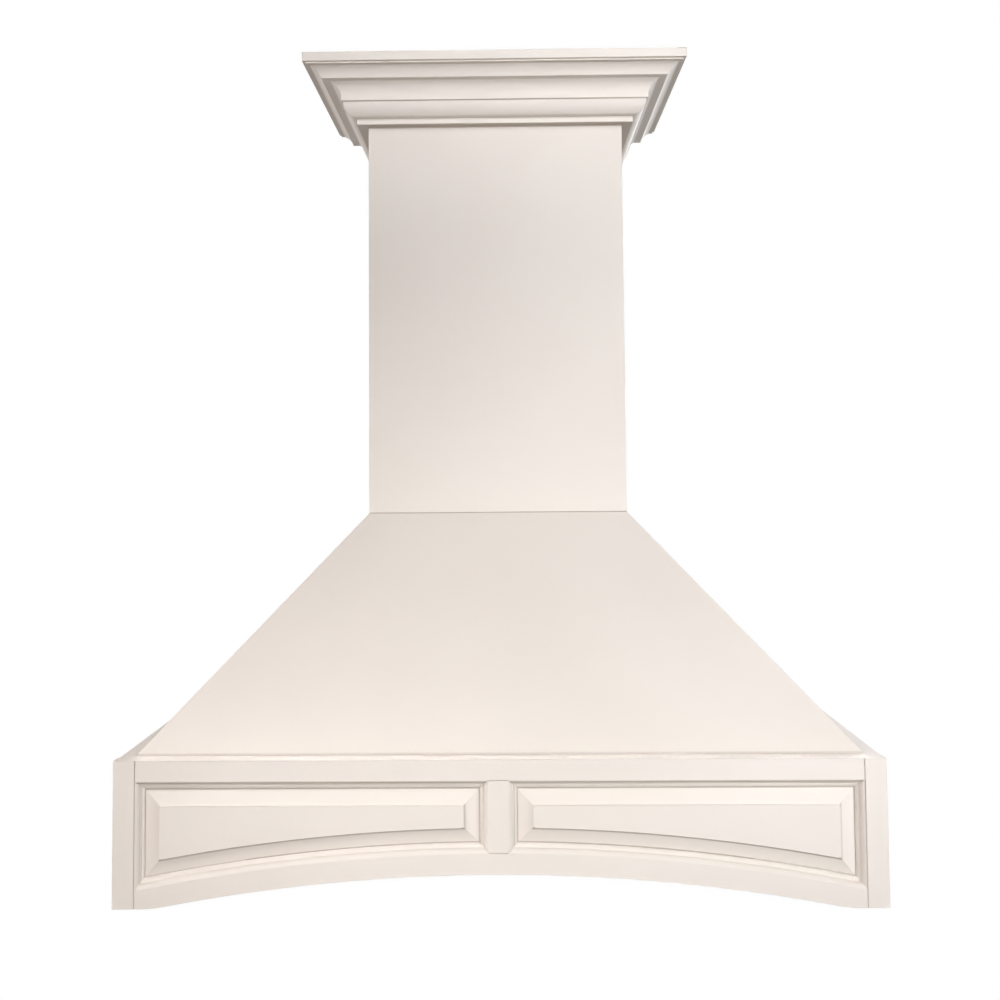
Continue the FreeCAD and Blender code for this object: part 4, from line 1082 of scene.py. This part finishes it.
def add_lamp(name, place, target, sides, power, tint, beam):
    """A soft lamp that looks at a point."""
    light = bpy.data.lights.new(name, "AREA")
    light.shape = "RECTANGLE"
    light.size, light.size_y = sides
    light.energy = power
    light.color = tint
    light.spread = math.radians(beam)
    lamp = bpy.data.objects.new(name, light)
    lamp.location = place
    lamp.rotation_euler = (Vector(target) - Vector(place)).to_track_quat("-Z", "Y").to_euler()
    bpy.context.scene.collection.objects.link(lamp)


def add_room(scene, stage):
    """Dim light from all around, and white for rays that look at the backdrop."""
    world = bpy.data.worlds.new("studio_world")
    scene.world = world
    world.use_nodes = True
    sky = Nodes(world.node_tree)
    room = sky.node("Background", None, {"Color": (*stage.room_tint, 1), "Strength": stage.room_light})
    white = sky.node("Background", None, BACKDROP)
    shown = sky.node("MixShader", None, {0: sky.direct_rays(), 1: room, 2: white})
    sky.node("OutputWorld", None, {"Surface": shown}, ())


def camera_turn(stage):
    """Rotation of the camera from its yaw, pitch and roll."""
    above = Vector(UP)
    ahead = Vector((math.sin(stage.yaw), math.cos(stage.yaw), 0))
    right = Vector((math.cos(stage.yaw), -math.sin(stage.yaw), 0))
    forward = math.cos(stage.pitch) * ahead + math.sin(stage.pitch) * above
    up = math.cos(stage.pitch) * above - math.sin(stage.pitch) * ahead
    leant_right = math.cos(stage.roll) * right - math.sin(stage.roll) * up
    leant_up = math.sin(stage.roll) * right + math.cos(stage.roll) * up
    return Matrix((leant_right, leant_up, -forward)).transposed()


def add_camera(scene, stage):
    """The camera at the photograph's viewing angle."""
    eye = bpy.data.cameras.new("photo_camera")
    eye.lens = stage.lens
    eye.sensor_width = SENSOR_WIDTH
    eye.shift_x, eye.shift_y = stage.shift
    camera = bpy.data.objects.new("photo_camera", eye)
    camera.matrix_world = Matrix.Translation(Vector(stage.eye)) @ camera_turn(stage).to_4x4()
    scene.collection.objects.link(camera)
    scene.camera = camera


class HOOD_OT_stage(bpy.types.Operator):
    """Set the floor, the light, the background and the camera"""
    bl_idname = "hood.stage"
    bl_label = "Stage"

    def execute(self, context):
        scene = context.scene
        stage = scene.hood_stage
        add_floor(stage)
        for name, setting in LAMPS.items():
            add_lamp(name, *setting)
        add_room(scene, stage)
        add_camera(scene, stage)
        scene.view_settings.view_transform = "Standard"
        return {"FINISHED"}


class HOOD_PT_panel(bpy.types.Panel):
    """The hood's steps, in the order in which they run"""
    bl_idname = "HOOD_PT_panel"
    bl_label = "Range hood"
    bl_space_type = "VIEW_3D"
    bl_region_type = "UI"
    bl_category = "Hood"

    def draw(self, context):
        for step in STEPS:
            self.layout.operator(step.bl_idname)


SETTINGS = {
    "hood_paint": HoodPaint,
    "hood_timber": HoodTimber,
    "hood_metal": HoodMetal,
    "hood_electrics": HoodElectrics,
    "hood_fittings": HoodFittings,
    "hood_stage": HoodStage,
}
STEPS = (
    HOOD_OT_paint,
    HOOD_OT_timber,
    HOOD_OT_metal,
    HOOD_OT_electrics,
    HOOD_OT_screws,
    HOOD_OT_gland_nut,
    HOOD_OT_rivets,
    HOOD_OT_pull_feet,
    HOOD_OT_lamp_reflectors,
    HOOD_OT_lamp_boards,
    HOOD_OT_lamp_chips,
    HOOD_OT_stage,
)


def register():
    for name, group in SETTINGS.items():
        bpy.utils.register_class(group)
        setattr(bpy.types.Scene, name, PointerProperty(type=group))
    for step in (*STEPS, HOOD_PT_panel):
        bpy.utils.register_class(step)


def unregister():
    for step in (HOOD_PT_panel, *reversed(STEPS)):
        bpy.utils.unregister_class(step)
    for name, group in reversed(SETTINGS.items()):
        delattr(bpy.types.Scene, name)
        bpy.utils.unregister_class(group)


def main():
    register()
    bpy.ops.hood.paint()
    bpy.ops.hood.timber()
    bpy.ops.hood.metal()
    bpy.ops.hood.electrics()
    bpy.ops.hood.screws()
    bpy.ops.hood.gland_nut()
    bpy.ops.hood.rivets()
    bpy.ops.hood.pull_feet()
    bpy.ops.hood.lamp_reflectors()
    bpy.ops.hood.lamp_boards()
    bpy.ops.hood.lamp_chips()
    bpy.ops.hood.stage()


if __name__ == "__main__":
    main()
